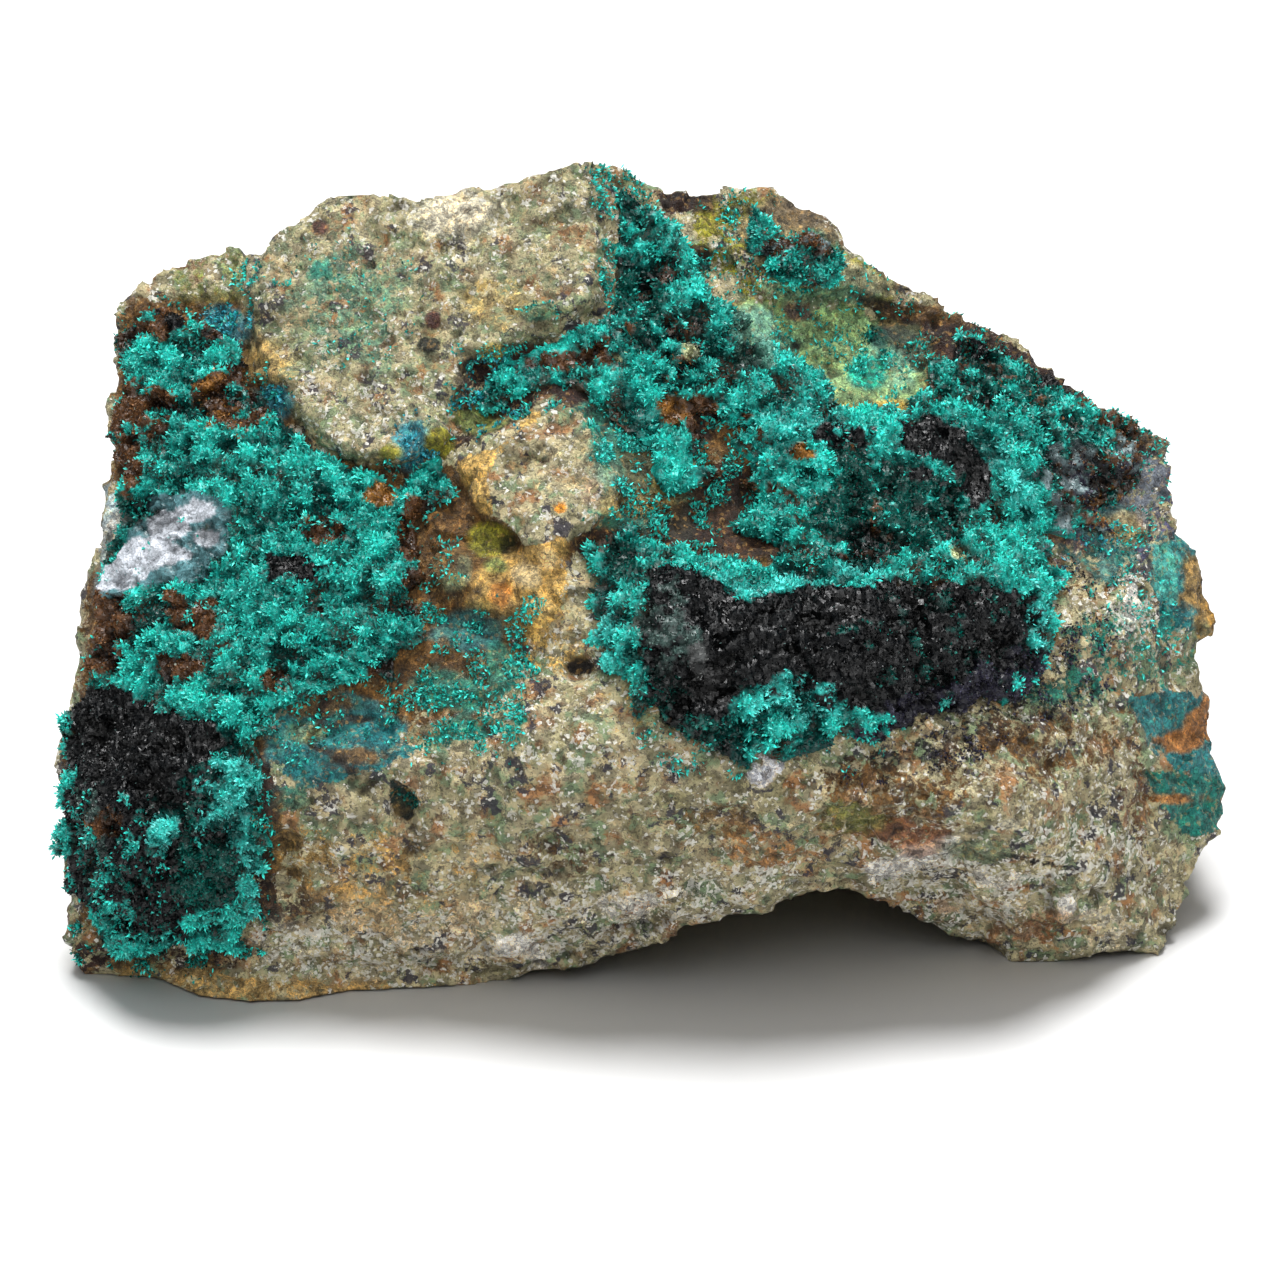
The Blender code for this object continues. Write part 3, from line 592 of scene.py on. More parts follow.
class Nodes:
    """A short way to write node materials."""

    def __init__(self, name):
        self.material = bpy.data.materials.new(name)
        self.material.use_nodes = True
        self.tree = self.material.node_tree
        self.shader = self.tree.nodes["Principled BSDF"]

    def add(self, kind, **settings):
        node = self.tree.nodes.new(kind)
        for key, value in settings.items():
            setattr(node, key, value)
        return node

    def link(self, out, into):
        self.tree.links.new(out, into)

    def put(self, socket, value):
        if isinstance(value, bpy.types.NodeSocket):
            self.link(value, socket)
        elif socket.type == "RGBA" and len(value) == 3:
            socket.default_value = (*value, 1)
        else:
            socket.default_value = value

    def place(self):
        return self.add("ShaderNodeTexCoord").outputs["Object"]

    def noise(self, scale, detail=2.0, rough=0.5, at=None):
        node = self.add("ShaderNodeTexNoise")
        self.put(node.inputs["Vector"], at or self.place())
        node.inputs["Scale"].default_value = scale
        node.inputs["Detail"].default_value = detail
        node.inputs["Roughness"].default_value = rough
        return node

    def voronoi(self, scale, at=None):
        node = self.add("ShaderNodeTexVoronoi")
        self.put(node.inputs["Vector"], at or self.place())
        node.inputs["Scale"].default_value = scale
        return node

    def math(self, operation, *values):
        node = self.add("ShaderNodeMath", operation=operation)
        for socket, value in zip(node.inputs, values):
            self.put(socket, value)
        return node.outputs[0]

    def range(self, value, low, high, to_low=0.0, to_high=1.0):
        node = self.add("ShaderNodeMapRange", clamp=True)
        self.put(node.inputs["Value"], value)
        node.inputs["From Min"].default_value = low
        node.inputs["From Max"].default_value = high
        node.inputs["To Min"].default_value = to_low
        node.inputs["To Max"].default_value = to_high
        return node.outputs["Result"]

    def mix(self, share, a, b, blend="MIX"):
        node = self.add("ShaderNodeMix", data_type="RGBA", blend_type=blend)
        self.put(node.inputs["Factor"], share)
        self.put(node.inputs[6], a)
        self.put(node.inputs[7], b)
        return node.outputs[2]

    def ramp(self, value, stops):
        node = self.add("ShaderNodeValToRGB")
        self.put(node.inputs["Fac"], value)
        elements = node.color_ramp.elements
        elements[0].position, elements[1].position = stops[0][0], stops[-1][0]
        elements[0].color, elements[1].color = (*stops[0][1], 1), (*stops[-1][1], 1)
        for position, colour in stops[1:-1]:
            elements.new(position).color = (*colour, 1)
        return node.outputs["Color"]

    def attribute(self, name):
        node = self.add("ShaderNodeAttribute", attribute_name=name)
        return node.outputs["Color"], node.outputs["Fac"]

    def split(self, colour):
        node = self.add("ShaderNodeSeparateColor")
        self.put(node.inputs[0], colour)
        return node.outputs

    def bump(self, height, distance, strength):
        node = self.add("ShaderNodeBump")
        self.put(node.inputs["Height"], height)
        node.inputs["Distance"].default_value = distance
        node.inputs["Strength"].default_value = strength
        return node.outputs["Normal"]

    def finish(self, **inputs):
        for name, value in inputs.items():
            self.put(self.shader.inputs[name.replace("_", " ")], value)
        return self.material


GRAIN_SHADES = [(0.0, (0.6, 0.6, 0.6)), (1.0, (1.35, 1.35, 1.35))]


def rock_material():
    """Granular host rock: olive and tan, with dark grains, pale specks, stains and painted shade in its
    pits and holes.
    """
    n = Nodes("host_rock")
    place = n.place()
    warp = n.noise(1500, 4.0, 0.7, at=place)
    offset = n.add("ShaderNodeVectorMath", operation="MULTIPLY_ADD")
    n.put(offset.inputs[0], warp.outputs["Color"])
    offset.inputs[1].default_value = (0.0014, 0.0014, 0.0014)
    n.put(offset.inputs[2], place)
    warped = offset.outputs[0]

    mottle = n.noise(330, 5.0, 0.7, at=place).outputs["Fac"]
    ground = n.ramp(mottle, [
        (0.32, linear(94, 86, 62)),
        (0.42, linear(160, 152, 112)),
        (0.50, linear(190, 180, 142)),
        (0.60, linear(204, 188, 146)),
        (0.72, linear(196, 154, 100)),
    ])
    green = n.noise(420, 3.0, 0.6, at=warped).outputs["Fac"]
    ground = n.mix(n.range(green, 0.52, 0.60, 0.0, 0.8), ground, linear(122, 150, 112))
    warm = n.noise(300, 4.0, 0.7, at=warped).outputs["Fac"]
    ground = n.mix(n.range(warm, 0.54, 0.64, 0.0, 0.8), ground, linear(172, 112, 62))
    earth = n.noise(520, 4.0, 0.7, at=warped).outputs["Fac"]
    ground = n.mix(n.range(earth, 0.59, 0.66, 0.0, 0.8), ground, linear(104, 72, 50))

    # single grains: their lightness varies, and a few are dark or white
    grains = n.voronoi(1150, at=warped)
    pick = n.split(grains.outputs["Color"])
    lightness = n.ramp(pick[0], [(0.0, (0.5, 0.5, 0.52)), (0.5, (1, 1, 1)), (1.0, (1.4, 1.4, 1.36))])
    ground = n.mix(1.0, ground, lightness, "MULTIPLY")
    specks = n.voronoi(4600, at=warped)
    speck_pick = n.split(specks.outputs["Color"])
    pepper = n.math("GREATER_THAN", speck_pick[1], 0.82)
    ground = n.mix(n.math("MULTIPLY", pepper, 0.6), ground, linear(66, 62, 54))
    blotch = n.noise(500, 3.5, 0.65, at=warped).outputs["Fac"]
    dark_zone = n.noise(170, 2.0, 0.5, at=place).outputs["Fac"]
    is_dark = n.range(n.math("SUBTRACT", blotch, n.range(dark_zone, 0.35, 0.65, 0.66, 0.53)), 0.0, 0.02)
    ground = n.mix(n.math("MULTIPLY", is_dark, 0.9), ground, linear(56, 54, 66))
    salt_zone = n.noise(640, 3.0, 0.8, at=place).outputs["Fac"]
    paler = n.attribute("pale")[1]
    powder = n.math("MULTIPLY", n.math("MULTIPLY", paler, n.range(salt_zone, 0.36, 0.56)), 0.55)
    salt_share = n.math("ADD", n.range(salt_zone, 0.48, 0.66, 0.02, 0.46), powder)
    crumbs = n.voronoi(3000)
    crumb_pick = n.split(crumbs.outputs["Color"])
    salt = n.math("LESS_THAN", crumb_pick[0], salt_share)
    whiteness = n.range(crumb_pick[1], 0.0, 1.0, 0.35, 1.0)
    ground = n.mix(n.math("MULTIPLY", salt, whiteness), ground, linear(250, 247, 236))

    # a stain, and the painted shade in the holes, takes grain by grain, so its border is ragged
    stain_and_shade, amount = n.attribute("stain_and_shade")[0], n.attribute("stain_and_shade_amount")[1]
    ragged = n.noise(2100, 3.0, 0.7, at=place).outputs["Fac"]
    take = n.math("MULTIPLY", n.range(ragged, 0.3, 0.7), 0.55)
    take = n.math("ADD", n.math("MULTIPLY", pick[2], 0.45), take)
    taken = n.range(n.math("SUBTRACT", amount, take), -0.12, 0.12)
    shade = n.ramp(speck_pick[2], [(0.0, (0.45, 0.45, 0.45)), (0.5, (1, 1, 1)), (1.0, (1.6, 1.6, 1.56))])
    shade = n.mix(1.0, shade, n.ramp(pick[1], GRAIN_SHADES), "MULTIPLY")
    ochre_grain = n.math("GREATER_THAN", crumb_pick[2], 0.87)
    stain_and_shade = n.mix(n.math("MULTIPLY", ochre_grain, 0.3), stain_and_shade, linear(184, 146, 88))
    blotches = n.ramp(n.noise(900, 4.0, 0.75, at=warped).outputs["Fac"], [
        (0.36, (0.4, 0.38, 0.36)),
        (0.5, (1, 1, 1)),
        (0.64, (1.7, 1.5, 1.15)),
    ])
    shade = n.mix(1.0, shade, blotches, "MULTIPLY")
    colour = n.mix(taken, ground, n.mix(1.0, stain_and_shade, shade, "MULTIPLY"))
    # painted shade: the pits are darkened by their depth
    pit_shade = n.attribute("pit_shade")[1]
    colour = n.mix(n.range(pit_shade, 0.0, 1.0, 0.0, 0.7), colour, linear(36, 30, 22))

    rough = n.range(speck_pick[1], 0.0, 1.0, 0.35, 0.95)
    height = n.math("ADD", n.math("MULTIPLY", grains.outputs["Distance"], -0.55),
                    n.math("MULTIPLY", specks.outputs["Distance"], -0.3))
    dust = n.noise(3800, 3.0, 0.7, at=place).outputs["Fac"]
    height = n.math("ADD", height, n.math("MULTIPLY", dust, 0.5))
    normal = n.bump(height, 0.0006, 1.0)
    return n.finish(Base_Color=colour, Roughness=rough, Normal=normal, Specular_IOR_Level=0.45)


def crust_material():
    """Dioptase: fine crystals whose colour each carries itself."""
    n = Nodes("dioptase")
    colour = n.attribute("crystal")[0]
    flecks = n.voronoi(6500)
    pick = n.split(flecks.outputs["Color"])
    colour = n.mix(1.0, colour, n.ramp(pick[0], GRAIN_SHADES), "MULTIPLY")
    rough = n.range(pick[1], 0.0, 1.0, 0.22, 0.6)
    normal = n.bump(n.noise(7000, 2.0, 0.6).outputs["Fac"], 0.00005, 0.5)
    return n.finish(Base_Color=colour, Roughness=rough, Normal=normal, Specular_IOR_Level=0.32)


# The rock


def break_surface(obj):
    """Turns the smooth rock into a granular break, and returns how deep in a pit each point is, which
    sets the painted shade in the pits.
    """
    mesh = obj.data
    points, normals = points_of(mesh), normals_of(mesh)
    chip, number = cells(points, 4.6, 31)
    grain, grain_number = cells(points, 1.3, 47)
    height = 0.15 * (0.6 - chip) + 0.10 * (number - 0.5)
    height += 0.7 * chips(points, 3.4, 37) + 0.4 * chips(points, 1.5, 43)
    height += 0.30 * (0.5 - grain) * (0.3 + grain_number)
    height += 0.34 * rough_noise(points, 1.8, 61, 4)
    pit = ramp(-rough_noise(points, 2.4, 71, 3), 0.26, 0.6)
    height -= 0.4 * pit
    place = Place(points, facing_of(normals))
    for shape, rise in RISES:
        height += rise * place.patch(shape, 14, 3)
    low = ramp(points[:, 2], 0.25, 1.2)
    moved = points + normals * (height * low)[:, None]
    moved[:, 2] = np.maximum(moved[:, 2], 0)
    set_points(mesh, moved)
    return pit


CRUST_NODES = ("dioptase_crust_left", "dioptase_crust_right", "dioptase_crust_summit")
ROCK_VOXEL = 0.365
COVERED = 0.42  # rock nearer to a crust's solid than this is hidden under it
COVERED_LOSS = 0.9  # of the triangles there
HIDDEN_TRIANGLES = 36000  # about how many are kept where the rock faces away from the view


def tree_of(obj):
    return BVHTree.FromObject(obj, bpy.context.evaluated_depsgraph_get())


def make_rock():
    """The rock, fine where it is seen, with its surface broken, its stains painted and its pits and
    holes darkened as painted shade.
    """
    rock = copy_of("matrix", "rock")
    remeshed(rock, ROCK_VOXEL, 2)
    covered = np.zeros(len(rock.data.vertices), bool)
    for node in CRUST_NODES:
        away, _ = rock_distance(points_of(rock.data), tree_of(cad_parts[node]))
        covered |= away < COVERED
    thin_where(rock, covered.astype(float), 1 - COVERED_LOSS * covered.mean())
    facing = facing_of(normals_of(rock.data))
    count = len(triangles_of(rock.data))
    hidden = facing < 0
    thin_where(rock, hidden.astype(float), min(1, 1 - hidden.mean() + HIDDEN_TRIANGLES / count))
    pit = break_surface(rock)
    mesh = rock.data
    place = Place(points_of(mesh), facing_of(normals_of(mesh)))
    colour, strength = paint(place, ROCK_PATCHES)
    weathered = ramp(rough_noise(place.points, 9.0, 83, 3), 0.0, 0.5) * (1 - place.seen)
    colour = np.where((weathered > strength)[:, None], linear(128, 96, 58), colour)
    strength = np.maximum(strength, 0.6 * weathered)
    colour_layer(mesh, "stain_and_shade", colour)
    value_layer(mesh, "stain_and_shade_amount", strength)
    # painted shade in the pits: how deep in a pit each point is
    value_layer(mesh, "pit_shade", pit)
    pale = sum(share * place.patch(shape, 16, 22) for shape, share in PALE_ZONES)
    value_layer(mesh, "pale", np.clip(pale, 0, 1))
    print("rock", len(triangles_of(mesh)), "triangles")
    return rock


# The crusts

# Patches of the crusts: (outline or spot, kind, share, feather, how broken the border is). A
# crust is teal where none reaches.
CRUST_PATCHES = [
    # left lump
    ([(62, 700), (90, 690), (130, 690), (160, 716), (215, 720), (232, 742), (205, 760),
      (215, 790), (190, 812),
      (130, 800), (70, 790)], "black", 1.0, 6, 13),
    ([(60, 780), (200, 790), (240, 830), (240, 900), (190, 940), (70, 950), (60, 860)],
     "black", 0.72, 10, 22),
    ((206, 864, 36, 48), "dark_green", 0.6, 12, 18),
    ((150, 900, 60, 40), "dark_green", 0.35, 20, 24),
    ((163, 832, 18, 28), "bright", 0.7, 8, 16),
    ((92, 838, 14, 44), "grey", 0.7, 8, 12),
    ((92, 850, 12, 40), "teal", 0.4, 8, 16),
    ((107, 822, 18, 14), "brown", 0.7, 6, 14),
    ((104, 932, 34, 34), "teal", 0.45, 12, 24),
    ([(224, 740), (262, 762), (268, 830), (262, 912), (240, 915), (246, 862), (224, 838),
      (196, 828),
      (212, 806), (188, 784), (216, 764)], "bright", 0.75, 12, 16),
    ((196, 790, 20, 26), "dark_green", 0.45, 14, 24),
    ([(186, 915), (240, 900), (240, 968), (190, 966)], "teal", 0.7, 8, 16),
    ((183, 665, 22, 13), "brown", 0.9, 6, 12),
    ((102, 620, 28, 40), "brown", 0.75, 8, 22),
    ((190, 620, 30, 18), "brown", 0.7, 8, 24),
    ((226, 650, 18, 12), "brown", 0.6, 8, 12),
    ((80, 665, 24, 14), "brown", 0.7, 8, 12),
    ((270, 680, 22, 14), "brown", 0.6, 8, 12),
    # left field
    ((322, 533, 22, 14), "brown", 0.85, 6, 14),
    ((303, 566, 30, 12), "black", 0.85, 6, 14),
    ((380, 496, 14, 10), "ochre", 0.9, 4, 8),
    ((212, 540, 26, 26), "dark_green", 0.6, 14, 14),
    ((150, 408, 40, 24), "brown", 0.65, 8, 26),
    ((226, 402, 40, 30), "brown", 0.7, 8, 26),
    ((222, 398, 34, 28), "ochre", 0.3, 8, 26),
    ((150, 318, 28, 18), "brown", 0.75, 8, 18),
    ((213, 334, 12, 8), "brown", 1.0, 4, 3),
    ((174, 320, 10, 8), "black", 0.9, 4, 4),
    ((128, 468, 14, 24), "brown", 0.8, 8, 8),
    ((247, 358, 8, 9), "black", 0.9, 4, 4),
    ([(150, 490), (216, 492), (238, 520), (228, 552), (190, 578), (110, 594), (100, 570),
      (130, 530)],
     "glass", 0.95, 8, 10),
    ((128, 508, 26, 16), "dark_green", 0.5, 10, 18),
    ((196, 512, 20, 13), "ice", 0.95, 6, 9),
    ((168, 526, 22, 13), "ice", 0.95, 6, 9),
    ((206, 534, 15, 10), "ice", 0.9, 6, 9),
    ((146, 553, 38, 15), "ice", 0.95, 6, 9),
    ((120, 574, 24, 15), "ice", 0.95, 6, 9),
    ([(70, 330), (122, 330), (116, 420), (106, 490), (84, 560), (60, 560)], "brown", 0.55, 8, 18),
    ((430, 560, 26, 60), "brown", 0.8, 10, 14),
    ((400, 690, 30, 26), "brown", 0.7, 10, 14),
    # crest
    ((640, 210, 26, 20), "dark_green", 0.7, 10, 12),
    ([(594, 155), (625, 160), (690, 240), (700, 380), (600, 340)], "dark_green", 0.35, 20, 30),
    ((655, 345, 50, 30), "brown", 0.3, 16, 26),
    ((690, 350, 9, 7), "pale_yellow", 0.9, 4, 4),
    ((621, 357, 6, 5), "pale_yellow", 0.9, 4, 4),
    ((802, 453, 18, 10), "ochre", 0.9, 5, 6),
    ((860, 500, 60, 40), "brown", 0.25, 16, 26),
    ((760, 450, 40, 40), "brown", 0.35, 16, 26),
    ((560, 360, 40, 16), "brown", 0.75, 10, 14),
    ((640, 290, 30, 40), "dark_green", 0.35, 20, 24),
    ((672, 409, 16, 15), "ochre", 0.9, 6, 6),
    ((705, 418, 17, 26), "brown", 0.95, 6, 6),
    ((728, 484, 26, 24), "brown", 0.9, 8, 8),
    ((757, 340, 24, 34), "pale_teal", 0.8, 10, 12),
    # slope and its dark boss
    ([(898, 424), (930, 412), (960, 424), (990, 460), (1000, 500), (975, 510), (950, 470),
      (905, 450)], "black", 1.0, 6, 7),
    ([(820, 440), (870, 446), (960, 480), (960, 545), (880, 560), (800, 530), (842, 470)],
     "dark_green", 0.75, 12, 18),
    ((921, 474, 12, 7), "black", 1.0, 4, 3),
    ([(966, 415), (1000, 440), (1030, 480), (1048, 525), (1025, 525), (1000, 480), (972, 440)],
     "bright", 0.9, 6, 6),
    ((800, 420, 40, 20), "bright", 0.5, 14, 14),
    ((840, 436, 30, 14), "black", 0.6, 8, 14),
    ([(860, 290), (960, 330), (1060, 390), (1170, 440), (1150, 520), (1060, 500), (1010, 440),
      (960, 410), (900, 360)],
     "dark_green", 0.35, 10, 26),
    ([(860, 290), (960, 325), (1110, 400), (1180, 450), (1160, 480), (1100, 430), (1000, 380),
      (900, 340)],
     "brown", 0.5, 10, 22),
    ((1000, 380, 60, 36), "dark_green", 0.3, 20, 26),
    ((1000, 345, 40, 14), "black", 0.5, 14, 18),
    ((1052, 376, 14, 10), "black", 0.8, 6, 8),
    ((1070, 450, 40, 40), "dark_green", 0.3, 20, 26),
    ([(1040, 440), (1100, 430), (1190, 460), (1190, 560), (1100, 600), (1040, 540)],
     "dusk", 0.5, 20, 28),
    ((1120, 500, 60, 60), "brown", 0.2, 16, 26),
    ((1130, 520, 40, 40), "ochre", 0.25, 12, 24),
    ((1110, 500, 40, 40), "violet", 0.2, 16, 24),
    ((850, 540, 50, 20), "brown", 0.35, 12, 18),
    # the bump at the top right
    ((786, 236, 40, 22), "dusk", 0.6, 10, 22),
    ((800, 232, 40, 20), "brown", 0.4, 10, 22),
    ((815, 262, 30, 14), "dark_green", 0.4, 10, 18),
    # front boss
    ([(655, 570), (700, 572), (742, 596), (785, 588), (860, 586), (960, 580), (1040, 600),
      (1044, 650),
      (1010, 690), (900, 716), (800, 700), (740, 690), (716, 730), (680, 740), (645, 700),
      (640, 640)], "black", 1.0, 6, 12),
    ((621, 562, 17, 20), "dark_green", 0.95, 6, 6),
    ((668, 632, 32, 46), "grey", 0.6, 12, 12),
    ((697, 660, 9, 15), "pale_grey", 0.9, 6, 6),
    ((660, 690, 26, 26), "dark_green", 0.5, 10, 12),
    ((700, 742, 34, 20), "dark_green", 0.6, 10, 16),
    ((960, 640, 90, 50), "dark_green", 0.3, 20, 26),
    ([(1010, 650), (1060, 640), (1064, 700), (1000, 735), (900, 735), (850, 760), (820, 750),
      (900, 705)], "violet", 0.7, 10, 14),
    ([(700, 560), (760, 590), (800, 566), (880, 560), (880, 575), (800, 585), (745, 600)],
     "bright", 0.8, 6, 6),
    ((610, 640, 18, 60), "bright", 0.45, 10, 14),
    ((790, 700, 50, 26), "bright", 0.55, 10, 16),
    ((1040, 620, 12, 40), "bright", 0.5, 8, 12),
    ((957, 552, 9, 7), "pale_yellow", 1.0, 3, 2),
]

# The kinds of crust: (colour at a crystal's foot, at its tip, its length, its half width, how
# smooth the crust is).
KINDS = {
    "teal": (linear(0, 124, 116), linear(64, 255, 236), 0.58, 0.11, 0.0),
    "bright": (linear(0, 160, 148), linear(110, 255, 246), 0.56, 0.11, 0.0),
    "black": (linear(1, 3, 5), linear(9, 13, 17), 0.32, 0.11, 0.5),
    "dark_green": (linear(0, 26, 26), linear(4, 130, 116), 0.45, 0.13, 0.25),
    "brown": (linear(50, 30, 18), linear(136, 92, 52), 0.28, 0.16, 0.3),
    "ochre": (linear(110, 72, 30), linear(196, 138, 62), 0.3, 0.18, 0.4),
    "grey": (linear(20, 46, 44), linear(110, 136, 128), 0.3, 0.13, 0.5),
    "pale_grey": (linear(84, 88, 88), linear(176, 178, 176), 0.28, 0.15, 0.6),
    "pale_teal": (linear(40, 100, 88), linear(140, 206, 184), 0.34, 0.15, 0.4),
    "ice": (linear(206, 214, 224), linear(252, 250, 255), 0.12, 0.12, 0.85),
    "glass": (linear(72, 124, 130), linear(150, 196, 204), 0.12, 0.14, 0.9),
    "violet": (linear(14, 14, 22), linear(72, 70, 92), 0.34, 0.14, 0.5),
    "dusk": (linear(74, 92, 98), linear(164, 188, 186), 0.26, 0.13, 0.5),
    "blue": (linear(0, 92, 108), linear(76, 206, 226), 0.55, 0.14, 0.2),
    "pale_yellow": (linear(190, 196, 140), linear(226, 232, 190), 0.25, 0.2, 0.6),
}
KIND_NAMES = list(KINDS)

# Where single sprigs stand on the bare rock: (outline or spot, kind, how many for a square
# millimetre of a clump).
SPRIGS = [
    ([(120, 300), (240, 290), (310, 430), (430, 470), (470, 540), (440, 740), (260, 780),
      (120, 760)], "teal", 3.0),
    ([(420, 600), (540, 600), (530, 760), (420, 760), (380, 700)], "teal", 10.0),
    ([(450, 350), (540, 340), (600, 370), (600, 400), (530, 420), (450, 440)], "teal", 7.0),
    ([(450, 356), (529, 360), (520, 432), (450, 432)], "blue", 5.0),
    ((414, 438, 20, 28), "blue", 9.0),
    ([(590, 370), (760, 400), (780, 560), (640, 560), (600, 480)], "teal", 14.0),
    ([(600, 480), (700, 490), (760, 560), (650, 560)], "brown", 12.0),
    ([(1080, 620), (1110, 690), (1040, 745), (900, 785), (820, 790), (900, 740), (1000, 700)],
     "violet", 9.0),
    ([(1060, 560), (1110, 560), (1120, 660), (1070, 680)], "violet", 8.0),
    ((624, 425, 30, 50), "bright", 11.0),
    ([(700, 190), (860, 260), (960, 330), (900, 400), (760, 400), (700, 300)], "teal", 2.5),
    ((800, 262, 45, 14), "teal", 7.0),
    ([(594, 155), (625, 160), (655, 200), (690, 240), (690, 330), (600, 330)], "teal", 8.0),
    ((742, 208, 24, 20), "teal", 8.0),
    ([(900, 300), (1000, 330), (1120, 400), (1180, 450), (1100, 450), (1000, 390)], "teal", 5.0),
    ([(860, 300), (980, 340), (1120, 420), (1180, 470), (1150, 560), (1060, 560), (1000, 440)],
     "teal", 4.0),
    ((1070, 540, 50, 40), "blue", 2.5),
    ((1130, 620, 50, 60), "teal", 2.0),
    ([(640, 730), (760, 750), (900, 730), (900, 770), (760, 780), (640, 760)], "teal", 4.0),
    ((254, 280, 30, 18), "teal", 6.0),
    ((320, 270, 20, 16), "teal", 5.0),
    ((536, 312, 14, 9), "teal", 9.0),
    ((350, 300, 80, 70), "teal", 0.8),
    ((226, 330, 24, 22), "blue", 9.0),
    ((274, 405, 18, 18), "blue", 8.0),
    ((262, 700, 40, 50), "teal", 3.0),
    ((258, 850, 16, 90), "teal", 7.0),
    ((262, 850, 12, 80), "dark_green", 6.0),
    ([(66, 930), (250, 915), (262, 950), (236, 972), (66, 974)], "teal", 9.0),
    ([(66, 930), (250, 915), (262, 950), (236, 972), (66, 974)], "dark_green", 12.0),
    ((520, 720, 12, 7), "teal", 12.0),
    ((405, 806, 10, 14), "dark_green", 12.0),
    ((869, 371, 19, 17), "teal", 13.0),
    ((879, 336, 14, 13), "dark_green", 9.0),
]


def kind_weights(place):
    """How much of each kind of crust there is at each point, summing to 1."""
    weights = np.zeros((len(place.points), len(KIND_NAMES)))
    weights[:, 0] = 1
    for shape, kind, share, feather, broken in CRUST_PATCHES:
        amount = (share * place.patch(shape, feather, broken))[:, None]
        weights *= 1 - amount
        weights[:, KIND_NAMES.index(kind)] += amount[:, 0]
    return weights


def one_kind(place, weights, chance):
    """Takes one kind at each point, by the weights there, in small blotches."""
    blotch = np.clip(0.5 + 0.75 * place.fine + 0.35 * (chance - 0.5), 0, 0.9999)
    taken = (weights.cumsum(axis=1) <= blotch[:, None] * weights.sum(axis=1)[:, None]).sum(axis=1)
    return np.eye(len(KIND_NAMES))[np.minimum(taken, len(KIND_NAMES) - 1)]


def kind_values(weights, index):
    return weights @ np.array([KINDS[name][index] for name in KIND_NAMES])


def kind_colours(weights, index):
    return weights @ np.stack([KINDS[name][index] for name in KIND_NAMES])


def rock_distance(points, tree):
    """For each point, how far the rock is and the nearest place on it."""
    away = np.empty(len(points))
    near = np.empty((len(points), 3))
    for i, point in enumerate(points * MM):
        place, _, _, distance = tree.find_nearest(Vector(point))
        near[i] = place
        away[i] = distance
    return away / MM, near / MM


RELIEF = 0.85  # how far the tufts stand out
TUFT = 1.5  # across a tuft of crystals
CLUMP = 4.6  # across a clump of tufts
UNDERSIDE = 0.45  # what is nearer to the rock than this is the crust's hidden underside
UNDERSIDE_LOSS = 0.88  # of the triangles there
SPRIG_BORDER = 545  # across the view: sprigs left of it belong to the left crust
GLINT_SHARE = 0.022  # of the crystals
GLINT = linear(120, 150, 146)


def tuft_relief(points, smooth):
    """How far the tufts stand out, from about -1 to 1, and less where the crust is smooth."""
    tuft, number = cells(points, TUFT, 103)
    clump, _ = cells(points, CLUMP, 109)
    crevice = ramp(-rough_noise(points, 2.6, 139, 4), 0.08, 0.32)
    relief = 0.9 * (0.5 - tuft) + 0.8 * (number - 0.5) + 0.5 * (0.5 - clump)
    relief += 0.9 * rough_noise(points, 1.1, 127, 3) - 1.3 * crevice
    return relief * (1 - 0.75 * smooth)


def make_crust(node, name, tree, rock_faces, rng, blades, voxel):
    """One mesh of a crust: its tufted body, its crystals and its sprigs on the rock."""
    crust = copy_of(node, name)
    remeshed(crust, voxel, 4)
    away, _ = rock_distance(points_of(crust.data), tree)
    under = (away < UNDERSIDE).astype(float)
    thin_where(crust, under, 1 - under.mean() * UNDERSIDE_LOSS)
    mesh = crust.data
    points, normals = points_of(mesh), normals_of(mesh)
    away, near = rock_distance(points, tree)
    outer = ramp(away, UNDERSIDE, 1.2)
    place = Place(points, np.ones(len(points)))
    weights = kind_weights(place)
    relief = tuft_relief(points, kind_values(weights, 4))
    weights = one_kind(place, weights, 0.5)
    moved = points + normals * (RELIEF * relief * outer)[:, None]
    sunk = away < UNDERSIDE
    moved[sunk] = (near + (near - points) * 0.6)[sunk]
    moved[:, 2] = np.maximum(moved[:, 2], 0.15)
    set_points(mesh, moved)
    points, normals = points_of(mesh), normals_of(mesh)
    # painted light and shade: lit runs from 0 between the tufts to 1 on them, so the crust's body is
    # darker between the tufts and lighter on them
    lit = ramp(relief, -0.8, 0.9)[:, None]
    base_colour = kind_colours(weights, 0) * (0.15 + 0.85 * lit) + kind_colours(weights, 1) * 0.3 * lit
    earthy = ramp(rough_noise(points, 4.0, 151, 3), -0.1, 0.2)[:, None] * (1 - lit) ** 2
    earthy = earthy * weights[:, :1]
    base_colour = base_colour * (1 - earthy) + linear(58, 40, 26) * earthy
    on_crust = blades_on(mesh, points, normals, away, rng, blades)
    on_rock = sprigs_on(rock_faces, name, rng)
    spikes = [np.concatenate(pair) for pair in zip(on_crust, on_rock)]
    join(mesh, base_colour, spikes)
    print(name, len(triangles_of(mesh)), "triangles,", len(on_rock[0]) // 4, "sprigs on the rock")
    return crust


